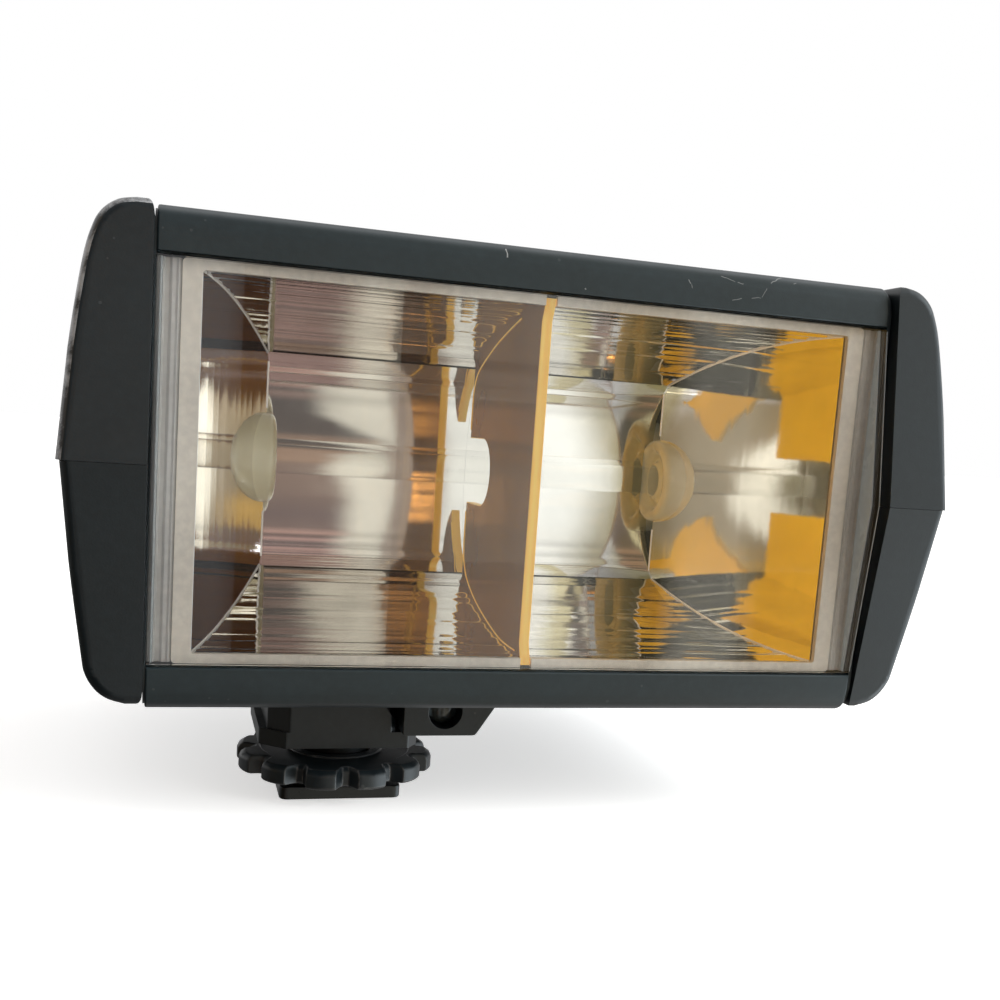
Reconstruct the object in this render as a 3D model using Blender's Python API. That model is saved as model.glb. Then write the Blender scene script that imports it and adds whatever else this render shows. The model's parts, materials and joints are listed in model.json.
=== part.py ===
"""A shoe-mount camera flash: a wide two-cell head that tilts between the side arms of its body.

All dimensions below are millimetres in the head's own measuring frame: X runs to the right as seen from the front,
from the head's left end; Y runs back from the window's top and bottom edges; Z runs up from the window's middle.
ORIGIN is the point of that frame that becomes the world origin: a point on the underside of the shoe foot.
"""

import math

import bmesh
import bpy

# ---------------------------------------------------------------- driving dimensions, mm
MM = 0.001
ORIGIN = (29.15, 22.0, -50.3)
GAP = 0.3  # between pieces that touch

HEAD_WIDE = 104.0  # outside width of the head and of its window
WINDOW_HALF = 26.0  # half the window's height between the two bars
HEAD_HALF = 32.1  # half the head's height over the bars
RIDGE = 3.0  # how far the window's middle ridge stands in front of its edges
PIVOT_Y = 26.0  # the head's tilt axis: along X, at Z = 0
BAY_BACK = 59.3  # front face of the body behind the head
BODY_BACK = 94.0  # rear edge of the two body shells
BAY_LEFT, BAY_RIGHT = 0.05, 0.5  # from the head's ends to the arms' inner faces: the head sits against the left one
WALL = 1.8  # body and head shell thickness

RIM_Y = 2.75  # plane of the reflectors' front edges
RIM_HALF = 24.5  # half height of the reflector opening
RIM_IN = 5.9  # from the head's end to the reflector opening
CELL_MID = HEAD_WIDE / 2
CORNER_Y, CORNER_Z = 40.5, 17.3  # where a reflector's upper and lower walls meet its back
BACK_Y = 45.3  # deepest line of a reflector
LEAN, CURL = 0.24, 0.0014  # how much an end plate leans inwards per mm of depth, and how that grows
PLATE_BACK = 41.5  # straight rear edge of an end plate
SHEET = 0.8  # reflector sheet

TUBE_Y, TUBE_Z, TUBE_R = 41.5, 0.4, 2.3
GROMMET_R, GROMMET_X0, GROMMET_X1 = 7.3, 15.8, 18.8

FOOT_X, FOOT_Y = 29.15, 27.3  # centre of the shoe foot
FOOT_SIDE = 18.6  # standard accessory-shoe foot
FOOT_BOTTOM, FOOT_TOP = -50.3, -48.3
STEM_R = 5.5
WHEEL_R, WHEEL_LOBES = 15.5, 12
WHEEL_LOW, WHEEL_HIGH = -47.15, -44.2
BLOCK_LOW = -42.3  # underside of the foot block

DIAL_X, DIAL_Z, DIAL_R = 21.6, 3.0, 18.0
COLUMN_X = 50.0  # the column of small controls on the back
PANEL_Y0, PANEL_Y1 = 91.9, 93.9
DOOR_X0, DOOR_X1, DOOR_HALF = 57.8, 108.2, 16.8
HINGE_X, HINGE_Y = 109.4, 95.6

# side outline of the body: distance outside the head's end, height
SIDE_UP = [(10.75, 0.15), (9.7, 13.5), (8.35, 24.0), (7.3, 28.3), (6.2, 30.4), (4.4, 31.8), (2.2, 32.3)]
SIDE_DOWN = [(10.3, -0.15), (9.2, -12.5), (7.7, -24.5), (7.2, -27.3), (6.0, -29.4), (4.4, -30.7), (2.2, -31.4)]

for old in list(bpy.data.objects):
    bpy.data.objects.remove(old, do_unlink=True)


# ---------------------------------------------------------------- materials
def material(name, colour, rough, metal=0.0, glassy=0.0):
    made = bpy.data.materials.new(name)
    made.use_nodes = True
    shader = made.node_tree.nodes["Principled BSDF"]
    shader.inputs["Base Color"].default_value = (*colour, 1.0)
    shader.inputs["Roughness"].default_value = rough
    shader.inputs["Metallic"].default_value = metal
    shader.inputs["Transmission Weight"].default_value = glassy
    made.diffuse_color = (*colour, 1.0)
    return made


# ---------------------------------------------------------------- shapes
def world(point):
    return tuple((p - o) * MM for p, o in zip(point, ORIGIN))


def place(axis, u, v, w):
    return {"X": (w, u, v), "Y": (u, w, v), "Z": (u, v, w)}[axis]


def prism(axis, outline, low, high):
    """A closed outline of the two other axes, in X, Y, Z order, swept along the axis."""
    made = bmesh.new()
    a = [made.verts.new(place(axis, u, v, low)) for u, v in outline]
    b = [made.verts.new(place(axis, u, v, high)) for u, v in outline]
    made.faces.new(a)
    made.faces.new(b[::-1])
    for i in range(len(outline)):
        j = (i + 1) % len(outline)
        made.faces.new((a[i], b[i], b[j], a[j]))
    bmesh.ops.recalc_face_normals(made, faces=made.faces)
    return made


def curved(outline, inner, outer):
    """An outline in Y and Z, whose second half mirrors its first in Z, between two curved surfaces giving X from Y."""
    made = bmesh.new()
    a = [made.verts.new((inner(y), y, z)) for y, z in outline]
    b = [made.verts.new((outer(y), y, z)) for y, z in outline]
    n = len(outline)
    for i in range(n // 2 - 1):
        made.faces.new((a[i], a[i + 1], a[n - 2 - i], a[n - 1 - i]))
        made.faces.new((b[n - 1 - i], b[n - 2 - i], b[i + 1], b[i]))
    for i in range(n):
        j = (i + 1) % n
        made.faces.new((a[i], b[i], b[j], a[j]))
    bmesh.ops.recalc_face_normals(made, faces=made.faces)
    return made


def box(x0, x1, y0, y1, z0, z1):
    return prism("Z", [(x0, y0), (x1, y0), (x1, y1), (x0, y1)], z0, z1)


def lathe(axis, centre, profile, sides=24, turn=0.0):
    """A profile of (radius, height along the axis) spun round it. A profile that starts and ends on the axis is a
    solid one, and any other is closed into a ring."""
    made = bmesh.new()
    rings = []
    for r, t in profile:
        if r < 1e-6:
            rings.append([made.verts.new(place(axis, *centre, t))])
            continue
        ring = []
        for i in range(sides):
            a = 2 * math.pi * i / sides + turn
            ring.append(made.verts.new(place(axis, centre[0] + r * math.cos(a), centre[1] + r * math.sin(a), t)))
        rings.append(ring)
    pairs = list(zip(rings, rings[1:]))
    if len(rings[0]) > 1 or len(rings[-1]) > 1:
        pairs.append((rings[-1], rings[0]))
    for a, b in pairs:
        for i in range(sides):
            j = (i + 1) % sides
            if len(a) == 1 and len(b) == 1:
                break
            if len(a) == 1:
                made.faces.new((a[0], b[i], b[j]))
            elif len(b) == 1:
                made.faces.new((a[i], b[0], a[j]))
            else:
                made.faces.new((a[i], b[i], b[j], a[j]))
    bmesh.ops.recalc_face_normals(made, faces=made.faces)
    return made


def rod(axis, centre, r, low, high, sides=24):
    return lathe(axis, centre, [(0, low), (r, low), (r, high), (0, high)], sides)


def tube(axis, centre, r_in, r_out, low, high, sides=24):
    return lathe(axis, centre, [(r_in, low), (r_out, low), (r_out, high), (r_in, high)], sides)


def offset_line(line, d):
    """An open line moved to its left by d, with mitred corners."""
    moved = []
    for i, (u, v) in enumerate(line):
        normals = []
        for a, b in ((i - 1, i), (i, i + 1)):
            if a < 0 or b >= len(line):
                continue
            du, dv = line[b][0] - line[a][0], line[b][1] - line[a][1]
            size = math.hypot(du, dv)
            normals.append((-dv / size, du / size))
        nu, nv = sum(n[0] for n in normals), sum(n[1] for n in normals)
        size = math.hypot(nu, nv)
        nu, nv = nu / size, nv / size
        cosine = nu * normals[0][0] + nv * normals[0][1]
        moved.append((u + nu * d / cosine, v + nv * d / cosine))
    return moved


def inset_side(side, d):
    """The side outline moved inwards by d, still ending level at the parting and at the top or bottom."""
    sign = 1 if side[-1][1] > 0 else -1
    line = offset_line(side, d * sign)
    line[0] = (side[0][0] - d, side[0][1])
    line[-1] = (side[-1][0], side[-1][1] - sign * d)
    return line


def across(side, d, parting=None):
    """The whole width's outline, in X and Z, of the half of the body on one side of the parting."""
    line = inset_side(side, d) if d else list(side)
    if parting is not None:
        line = [(line[0][0], parting), *line]
    return [(HEAD_WIDE + e, z) for e, z in line] + [(-e, z) for e, z in reversed(line)]


def arc(cy, cz, r, start, stop, steps):
    return [
        (cy + r * math.cos(math.radians(start + (stop - start) * i / steps)), cz + r * math.sin(math.radians(start + (stop - start) * i / steps)))
        for i in range(steps + 1)
    ]


def mirror_x(shape):
    for v in shape.verts:
        v.co.x = HEAD_WIDE - v.co.x
    bmesh.ops.recalc_face_normals(shape, faces=shape.faces)
    return shape


def mirror_z(shape):
    for v in shape.verts:
        v.co.z = -v.co.z
    bmesh.ops.recalc_face_normals(shape, faces=shape.faces)
    return shape


# ---------------------------------------------------------------- objects
def joint_empty(name, point):
    made = bpy.data.objects.new(name, None)
    made.empty_display_size = 0.005
    made.location = world(point)
    bpy.context.collection.objects.link(made)
    made["mm"] = point
    return made


def put(name, shape, look, parent=None, origin=None):
    """Makes an object of a shape. Its own origin is the given point, or its parent's."""
    origin = origin or (tuple(parent["mm"]) if parent else ORIGIN)
    for v in shape.verts:
        v.co = [(c - o) * MM for c, o in zip(v.co, origin)]
    mesh = bpy.data.meshes.new(name)
    shape.to_mesh(mesh)
    shape.free()
    mesh.materials.append(look)
    mesh.shade_smooth()
    mesh.set_sharp_from_angle(angle=math.radians(32))
    made = bpy.data.objects.new(name, mesh)
    bpy.context.collection.objects.link(made)
    if parent:
        made.parent = parent
        made.location = [(a - b) * MM for a, b in zip(origin, parent["mm"])]
    else:
        made.location = world(origin)
    made["mm"] = origin
    return made


def combine(target, shape, operation):
    helper = put(f"{target.name}.{operation.lower()}.{len(target.modifiers)}", shape, target.data.materials[0], target.parent, tuple(target["mm"]))
    helper.hide_render = True
    helper.display_type = "WIRE"
    step = target.modifiers.new(operation.title(), "BOOLEAN")
    step.operation = operation
    step.solver = "EXACT"
    step.object = helper
    return target


def cut(target, *shapes):
    for shape in shapes:
        combine(target, shape, "DIFFERENCE")
    return target


def join(target, *shapes):
    for shape in shapes:
        combine(target, shape, "UNION")
    return target


BLACK = material("black_shell", (0.020, 0.021, 0.024), 0.45)
BLACK_SATIN = material("black_panel", (0.028, 0.029, 0.032), 0.38)
CLEAR = material("clear_window", (0.95, 0.96, 0.97), 0.03, glassy=1.0)
MIRROR = material("reflector_metal", (0.86, 0.85, 0.83), 0.08, metal=1.0)
CREAM = material("rim_sheet", (0.56, 0.50, 0.42), 0.42)
AMBER = material("amber_plate", (0.62, 0.30, 0.03), 0.3)
GLASS = material("lamp_glass", (0.93, 0.95, 0.94), 0.02, glassy=1.0)
SILICONE = material("silicone", (0.68, 0.66, 0.56), 0.35)
STEEL = material("steel", (0.62, 0.62, 0.63), 0.3, metal=1.0)
BRASS = material("brass", (0.70, 0.55, 0.28), 0.32, metal=1.0)
NYLON = material("nylon", (0.72, 0.70, 0.64), 0.5)
BOARD = material("board", (0.10, 0.22, 0.10), 0.55)
SLEEVE = material("capacitor_sleeve", (0.03, 0.04, 0.10), 0.35)
COPPER = material("winding", (0.55, 0.28, 0.12), 0.4, metal=0.6)
CELL = material("cell_jacket", (0.20, 0.22, 0.24), 0.35)
LAMP = material("lamp_orange", (0.80, 0.22, 0.03), 0.25)
DIAL_FACE = material("dial_grey", (0.10, 0.10, 0.105), 0.4)
LENS = material("sensor_lens", (0.10, 0.12, 0.12), 0.05)

# ================================================================ body: the two shells and the back
head_pivot = joint_empty("head_pivot", (CELL_MID, PIVOT_Y, 0.0))


def body_shell(name, side, sign, slope):
    shell = put(name, prism("Y", across(side, 0), -6.0, BODY_BACK), BLACK)
    far = 44.0 * sign
    front = prism(
        "X",
        [(-20.0, -2.0 * sign), (-4.4 - slope * 2.0, -2.0 * sign), (-4.4 + slope * abs(far), far), (-20.0, far)],
        -30.0,
        140.0,
    )
    bay = box(-BAY_LEFT, HEAD_WIDE + BAY_RIGHT, -21.0, BAY_BACK, min(-2 * sign, far), max(-2 * sign, far))
    cut(shell, front, bay)
    inner = inset_side(side, WALL)
    arm = [(2.1, -1.0 * sign), (inner[0][0], -1.0 * sign), *[p for p in inner if p[0] > 2.3], (2.1, inner[-1][1])]
    for shape in (prism("Y", [(-e, z) for e, z in arm], 1.8, 61.8), mirror_x(prism("Y", [(-e, z) for e, z in arm], 1.8, 61.8))):
        cut(shell, shape)
    cut(shell, prism("Y", across(side, WALL, parting=-1.0 * sign), BAY_BACK + WALL, BODY_BACK + 1))
    for shape in (rod("X", (PIVOT_Y, 0.0), 5.3, -2.6, 0.2), mirror_x(rod("X", (PIVOT_Y, 0.0), 5.3, -2.6, 0.2))):
        cut(shell, shape)
    return shell


upper = body_shell("body_upper_shell", SIDE_UP, 1, 0.115)
lower = body_shell("body_lower_shell", SIDE_DOWN, -1, 0.155)
for x in (24.0, 44.0):
    cut(lower, rod("Z", (x, 70.0), 1.8, -33.0, -28.0, 12))

# the back panel, with the cut-outs for what it carries
whole = across(SIDE_UP, WALL + 0.35)
under = across(SIDE_DOWN, WALL + 0.35)
panel = put("rear_panel", prism("Y", whole[: len(whole) // 2] + whole[len(whole) // 2 :] + under[::-1][: len(under) // 2] + under[::-1][len(under) // 2 :], PANEL_Y0, PANEL_Y1), BLACK_SATIN)
join(panel, *[
    join_shape
    for low, high in ((8.0, 12.0), (-12.0, -8.0))
    for join_shape in (
        prism("Z", [(108.95, 93.2), (110.75, 93.2), (110.75, 95.6), (110.4, 96.5), (109.4, 96.9), (108.4, 96.5), (108.05, 95.6), (108.35, 94.6)], low, high),
    )
])
cut(
    panel,
    box(DOOR_X0 - 0.4, DOOR_X1 + 0.4, 90, 93.95, -DOOR_HALF - 0.4, DOOR_HALF + 0.4),
    rod("Y", (DIAL_X, DIAL_Z), 2.1, 90, 96, 16),
    rod("Y", (COLUMN_X, 22.0), 2.9, 90, 96, 20),
    rod("Y", (COLUMN_X, 12.5), 3.7, 90, 96, 24),
    rod("Y", (COLUMN_X, 1.0), 2.4, 90, 96, 16),
    box(COLUMN_X - 3.6, COLUMN_X + 3.6, 90, 96, -12.3, -9.7),
    rod("Y", (COLUMN_X, -22.5), 4.3, 90, 96, 24),
    rod("Z", (HINGE_X, HINGE_Y), 0.9, -13, 13, 12),
)
CASE_SCREWS = ((-1.5, -25.0), (105.5, -25.0))  # the panel's top edge hooks into the upper shell
for x, z in CASE_SCREWS:
    cut(panel, rod("Y", (x, z), 1.6, 90, 96, 12))

# ================================================================ bushes and pivot pins
for side_name, flip in (("left", False), ("right", True)):
    bush = lathe("X", (PIVOT_Y, 0.0), [(3.35, -3.6), (7.0, -3.6), (7.0, -2.45), (5.0, -2.45), (5.0, -0.7), (3.35, -0.7)], 24)
    put(f"pivot_bush_{side_name}", mirror_x(bush) if flip else bush, NYLON)
    pin = lathe(
        "X",
        (PIVOT_Y, 0.0),
        [(0, -5.4), (5.4, -5.4), (5.4, -4.1), (3.0, -4.1), (3.0, 2.25), (6.0, 2.25), (6.0, 3.6), (0, 3.6)],
        24,
    )
    put(f"pivot_pin_{side_name}", mirror_x(pin) if flip else pin, STEEL, head_pivot)
leaf = offset_line([(-6.6, 33.0), (-5.1, 36.0), (-4.6, 40.0), (-4.9, 46.0), (-5.4, 52.0)], 0.5)
put("tilt_detent_spring", prism("Z", [(-6.6, 33.0), (-5.1, 36.0), (-4.6, 40.0), (-4.9, 46.0), (-5.4, 52.0)] + leaf[::-1], -4.0, 4.0), STEEL)

# ================================================================ shoe foot
bracket = put("foot_bracket", prism("Z", [(16.6, 21.2), (20.4, 18.0), (39.2, 18.0), (40.9, 20.4), (40.9, 41.0), (16.6, 41.0)], BLOCK_LOW, -39.8), BLACK)
join(
    bracket,
    prism("Z", [(17.8, 21.2), (20.9, 18.0), (36.4, 18.0), (37.2, 18.8), (37.2, 41.0), (17.8, 41.0)], -40.4, -32.65),
    box(17.81, 51.0, 38.0, 78.0, -36.5, -32.65),
    box(17.82, 50.9, 59.9, 77.9, -35.0, -31.7),
)
cut(
    bracket,
    prism("Y", [(38.4, -39.8), (34.0, -34.0), (34.0, -31.0), (45.0, -31.0), (45.0, -39.8)], 10.0, 24.0),
    rod("Z", (FOOT_X, FOOT_Y), STEM_R + GAP, -43.0, -36.3, 24),
    *[rod("Z", (x, 70.0), 1.8, -40.0, -30.0, 12) for x in (24.0, 44.0)],
    *[rod("Z", (x, 70.0), 3.0, -40.0, -34.4, 16) for x in (24.0, 44.0)],
)
for i, x in enumerate((24.0, 44.0), 1):
    put(f"foot_screw_{i}", lathe("Z", (x, 70.0), [(0, -36.2), (2.6, -36.2), (2.6, -34.75), (1.4, -34.75), (1.4, -27.0), (0, -27.0)], 16), STEEL)

sensor = put("sensor_housing", prism("Y", [(37.6, -32.7), (37.6, -39.45), (48.9, -39.45), (51.8, -35.0), (51.8, -32.7)], 14.6, 37.6), BLACK)
cut(sensor, rod("Y", (44.0, -35.75), 2.6, 13.0, 20.6, 24))
put("sensor_lens", lathe("Y", (44.0, -35.75), [(0, 16.0), (1.2, 16.15), (2.0, 16.6), (2.3, 17.1), (2.3, 17.9), (0, 17.9)], 20), LENS)
put("photocell", rod("Y", (44.0, -35.75), 1.9, 18.2, 20.2, 16), NYLON)

put("foot_stem", tube("Z", (FOOT_X, FOOT_Y), 2.3, STEM_R, FOOT_TOP + GAP, -36.6, 28), STEEL)
half = FOOT_SIDE / 2
shoe = put(
    "shoe_plate",
    prism(
        "Z",
        [
            (FOOT_X - half, FOOT_Y - half + 1.2), (FOOT_X - half + 1.2, FOOT_Y - half), (FOOT_X + half - 1.2, FOOT_Y - half), (FOOT_X + half, FOOT_Y - half + 1.2),
            (FOOT_X + half, FOOT_Y + half - 1.2), (FOOT_X + half - 1.2, FOOT_Y + half), (FOOT_X - half + 1.2, FOOT_Y + half), (FOOT_X - half, FOOT_Y + half - 1.2),
        ],
        FOOT_BOTTOM,
        FOOT_TOP,
    ),
    STEEL,
)
cut(shoe, rod("Z", (FOOT_X, FOOT_Y), 1.6, -52, -47, 16))
put("contact_pin", rod("Z", (FOOT_X, FOOT_Y), 1.25, FOOT_BOTTOM, -38.0, 16), BRASS)

plate_slide = joint_empty("pressure_plate_slide", (FOOT_X, FOOT_Y, FOOT_TOP))
put("pressure_plate", tube("Z", (FOOT_X, FOOT_Y), STEM_R + 0.35, 9.2, FOOT_TOP + 0.35, FOOT_TOP + 0.85, 28), STEEL, plate_slide)
wheel_axis = joint_empty("lock_wheel_axis", (FOOT_X, FOOT_Y, WHEEL_LOW))
rim = []
for k in range(WHEEL_LOBES):
    for step, r in ((-0.30, WHEEL_R - 0.5), (-0.16, WHEEL_R), (0.16, WHEEL_R), (0.30, WHEEL_R - 0.5), (0.42, WHEEL_R - 2.2), (0.58, WHEEL_R - 2.2)):
        a = 2 * math.pi * (k + 0.5 + step) / WHEEL_LOBES
        rim.append((FOOT_X + r * math.cos(a), FOOT_Y + r * math.sin(a)))
wheel = put("lock_wheel", prism("Z", rim, WHEEL_LOW, WHEEL_HIGH), BLACK, wheel_axis)
cut(wheel, rod("Z", (FOOT_X, FOOT_Y), STEM_R + 0.4, -49, -42, 28))

# ================================================================ what the body holds
put("circuit_board", box(-5.0, 55.0, 84.5, 86.0, -24.5, 24.5), BOARD)
put("main_capacitor", lathe("X", (72.9, 13.0), [(0, 2.0), (10.4, 2.0), (11.2, 2.8), (11.2, 47.5), (10.4, 48.5), (0, 48.5)], 28), SLEEVE)
transformer = put("step_up_transformer", box(4.0, 24.0, 65.0, 81.0, -23.5, -10.5), COPPER)
join(transformer, box(6.5, 21.5, 63.0, 83.0, -21.0, -13.0))
cell_box = put("battery_box", box(56.2, 110.8, 61.5, 91.5, -16.6, 16.6), BLACK_SATIN)
cut(cell_box, box(57.4, 109.6, 62.7, 95.0, -15.2, 15.2))
number = 0
for y in (70.1, 84.4):
    for z in (-7.45, 7.45):
        number += 1
        nub_right = (number % 2) == 1
        profile = [(0, 58.3), (6.6, 58.3), (7.1, 58.9), (7.1, 107.1), (6.6, 107.5), (2.6, 107.5), (2.6, 108.7), (0, 108.7)]
        if not nub_right:
            profile = [(r, 58.3 + 108.7 - t) for r, t in reversed(profile)]
        put(f"battery_cell_{number}", lathe("X", (y, z), profile, 20), CELL)
for side_name, x in (("left", 57.7), ("right", 109.0)):
    put(f"battery_contact_{side_name}", box(x, x + 0.3, 65.0, 90.0, -12.0, 12.0), STEEL)

# ================================================================ controls on the back
put("dial_scale_plate", tube("Y", (DIAL_X, DIAL_Z), 2.1, 21.4, 94.2, 94.9, 40), DIAL_FACE)
put("dial_screw", lathe("Y", (DIAL_X, DIAL_Z), [(0, 88.0), (1.75, 88.0), (1.75, 96.4), (3.6, 96.4), (3.6, 97.4), (0, 97.4)], 16), STEEL)
dial_axis = joint_empty("calculator_dial_axis", (DIAL_X, 95.2, DIAL_Z))
put(
    "calculator_dial",
    lathe("Y", (DIAL_X, DIAL_Z), [(2.15, 95.2), (DIAL_R, 95.2), (DIAL_R, 96.9), (DIAL_R - 0.7, 97.6), (4.2, 97.6), (4.2, 96.1), (2.15, 96.1)], 40),
    BLACK_SATIN,
    dial_axis,
)
put("ready_lamp", lathe("Y", (COLUMN_X, 22.0), [(0, 88.6), (3.6, 88.6), (3.6, 91.5), (2.55, 91.5), (2.55, 94.2), (1.9, 94.8), (0, 95.1)], 20), LAMP)

button_slide = joint_empty("test_button_slide", (COLUMN_X, 91.5, 12.5))
put("test_button", lathe("Y", (COLUMN_X, 12.5), [(0, 90.0), (4.4, 90.0), (4.4, 91.5), (3.35, 91.5), (3.35, 95.3), (2.9, 95.8), (0, 95.8)], 24), BLACK_SATIN, button_slide)
turns, per_turn = 3, 12
coil = bpy.data.curves.new("test_button_spring", "CURVE")
coil.dimensions = "3D"
coil.bevel_depth = 0.25 * MM
coil.bevel_resolution = 1
coil.use_fill_caps = True
line = coil.splines.new("POLY")
line.points.add(turns * per_turn)
for i in range(turns * per_turn + 1):
    a = 2 * math.pi * i / per_turn
    y = 86.6 + 2.8 * i / (turns * per_turn)
    line.points[i].co = (2.4 * math.cos(a) * MM, (y - 88.0) * MM, 2.4 * math.sin(a) * MM, 1.0)
coil.materials.append(STEEL)
spring = bpy.data.objects.new("test_button_spring", coil)
spring.location = world((COLUMN_X, 88.0, 12.5))
bpy.context.collection.objects.link(spring)

mode_axis = joint_empty("mode_selector_axis", (COLUMN_X, 94.3, 1.0))
mode = put("mode_selector", lathe("Y", (COLUMN_X, 1.0), [(0, 87.0), (2.05, 87.0), (2.05, 94.3), (5.2, 94.3), (5.2, 95.4), (4.7, 95.8), (0, 95.8)], 24), BLACK_SATIN, mode_axis)
join(mode, box(COLUMN_X - 4.6, COLUMN_X + 4.6, 95.3, 97.3, 0.2, 1.8))
switch_slide = joint_empty("power_switch_slide", (COLUMN_X - 1.8, 94.2, -11.0))
switch = put("power_switch", box(COLUMN_X - 1.8 - 2.7, COLUMN_X - 1.8 + 2.7, 94.2, 96.3, -13.4, -8.6), BLACK_SATIN, switch_slide)
join(switch, box(COLUMN_X - 1.8 - 1.3, COLUMN_X - 1.8 + 1.3, 87.5, 94.9, -11.9, -10.1))
socket = put("sync_socket", lathe("Y", (COLUMN_X, -22.5), [(0, 87.6), (5.4, 87.6), (5.4, 91.5), (4.0, 91.5), (4.0, 95.3), (2.0, 95.3), (2.0, 90.6), (0, 90.6)], 24), STEEL)
for i, (x, z) in enumerate(CASE_SCREWS, 1):
    put(f"case_screw_{i}", lathe("Y", (x, z), [(0, 87.0), (1.25, 87.0), (1.25, 94.2), (2.4, 94.2), (2.1, 95.2), (0, 95.4)], 14), STEEL)

door_axis = joint_empty("battery_door_axis", (HINGE_X, HINGE_Y, 0.0))
door = put("battery_door", box(DOOR_X0, DOOR_X1, PANEL_Y0, PANEL_Y1, -DOOR_HALF, DOOR_HALF), BLACK_SATIN, door_axis)
join(
    door,
    prism("Z", [(103.6, 93.3), (107.8, 93.3), (107.8, 94.3), (109.4, 94.3), (110.3, 94.6), (110.75, 95.6), (110.3, 96.6), (109.4, 96.95), (108.2, 96.6), (106.4, 95.2)], -7.7, 7.7),
)
cut(door, rod("Z", (HINGE_X, HINGE_Y), 0.9, -9, 9, 12))
put("door_hinge_pin", rod("Z", (HINGE_X, HINGE_Y), 0.6, -12.0, 12.0, 12), STEEL)


# ================================================================ head: shells and window
def head_shell(name, flip):
    outer = [(0.0, 26.15), (0.35, 29.4), (1.1, 31.2), (2.6, HEAD_HALF)] + arc(PIVOT_Y, 0.0, HEAD_HALF, 90, 0.27, 10)
    inner = arc(PIVOT_Y, 0.0, HEAD_HALF - WALL, 0.28, 90, 10) + [(6.2, HEAD_HALF - WALL), (6.2, 26.15)]
    def shaped(shape):
        return mirror_z(shape) if flip else shape
    shell = put(name, shaped(prism("X", outer + inner, 0.25, HEAD_WIDE - 0.25)), BLACK, head_pivot)
    end = [(9.6, 0.15), (9.6, 31.2)] + arc(PIVOT_Y, 0.0, HEAD_HALF - 0.9, 90, 0.28, 10)
    join(shell, shaped(prism("X", end, 0.251, 1.95)), shaped(mirror_x(prism("X", end, 0.251, 1.95))))
    cut(shell, rod("X", (PIVOT_Y, 0.0), 3.3, -1, 3), mirror_x(rod("X", (PIVOT_Y, 0.0), 3.3, -1, 3)))
    return shell


head_shell("head_upper_shell", False)
head_low = head_shell("head_lower_shell", True)
for i, x in enumerate((10.0, 94.0), 1):
    cut(head_low, rod("Z", (x, 20.0), 1.5, -33, -29, 12), rod("Z", (x, 20.0), 2.5, -34, -31.0, 16))
    put(f"head_screw_{i}", lathe("Z", (x, 20.0), [(0, -31.9), (2.1, -31.9), (2.1, -31.3), (1.2, -31.25), (1.2, -26.4), (0, -26.4)], 14), STEEL, head_pivot)


def v_front(y_add=0.0):
    return [(y_add, -25.8), (y_add - RIDGE * 25.8 / WINDOW_HALF, 0.0), (y_add, 25.8)]


window = put("window", prism("X", v_front(0.0) + v_front(1.5)[::-1], 0.3, HEAD_WIDE - 0.3), CLEAR, head_pivot)
join(
    window,
    prism("X", v_front(0.001) + [(9.2, 25.79), (9.2, -25.79)], 0.301, 2.5),
    mirror_x(prism("X", v_front(0.001) + [(9.2, 25.79), (9.2, -25.79)], 0.301, 2.5)),
)


# ================================================================ head: the reflectors
def wall_z(y):
    return RIM_HALF - (RIM_HALF - CORNER_Z) * ((y - RIM_Y) / (CORNER_Y - RIM_Y)) ** 2.2


def cell_profile(front, steps=7, back_steps=8):
    """A reflector's inner surface in Y and Z, from its top front edge round the back to its bottom front edge."""
    top = []
    for i in range(steps + 1):
        y = front + (CORNER_Y - front) * i / steps
        top.append((y, wall_z(y)))
    sagitta = BACK_Y - CORNER_Y
    r = (CORNER_Z**2 + sagitta**2) / (2 * sagitta)
    middle = []
    for i in range(1, back_steps):
        z = CORNER_Z - 2 * CORNER_Z * i / back_steps
        middle.append((BACK_Y - r + math.sqrt(r * r - z * z), z))
    return top + middle + [(y, -z) for y, z in reversed(top)]


def band(front, low, high):
    inner = cell_profile(front)
    return prism("X", inner + offset_line(inner, SHEET)[::-1], low, high)


def slant_x(y, add=0.0):
    depth = y - RIM_Y
    return RIM_IN + depth * LEAN + depth * depth * CURL + add


def plate_outline(grow, front, back):
    """The inside of a reflector from its front to a straight rear edge, grown or shrunk by a little."""
    top = [(y, z) for y, z in offset_line(cell_profile(front), grow) if z > 0 and y < back]
    edge = top[-1][1] - 0.6
    return top + [(back, edge), (back, -edge)] + [(y, -z) for y, z in reversed(top)]


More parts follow.
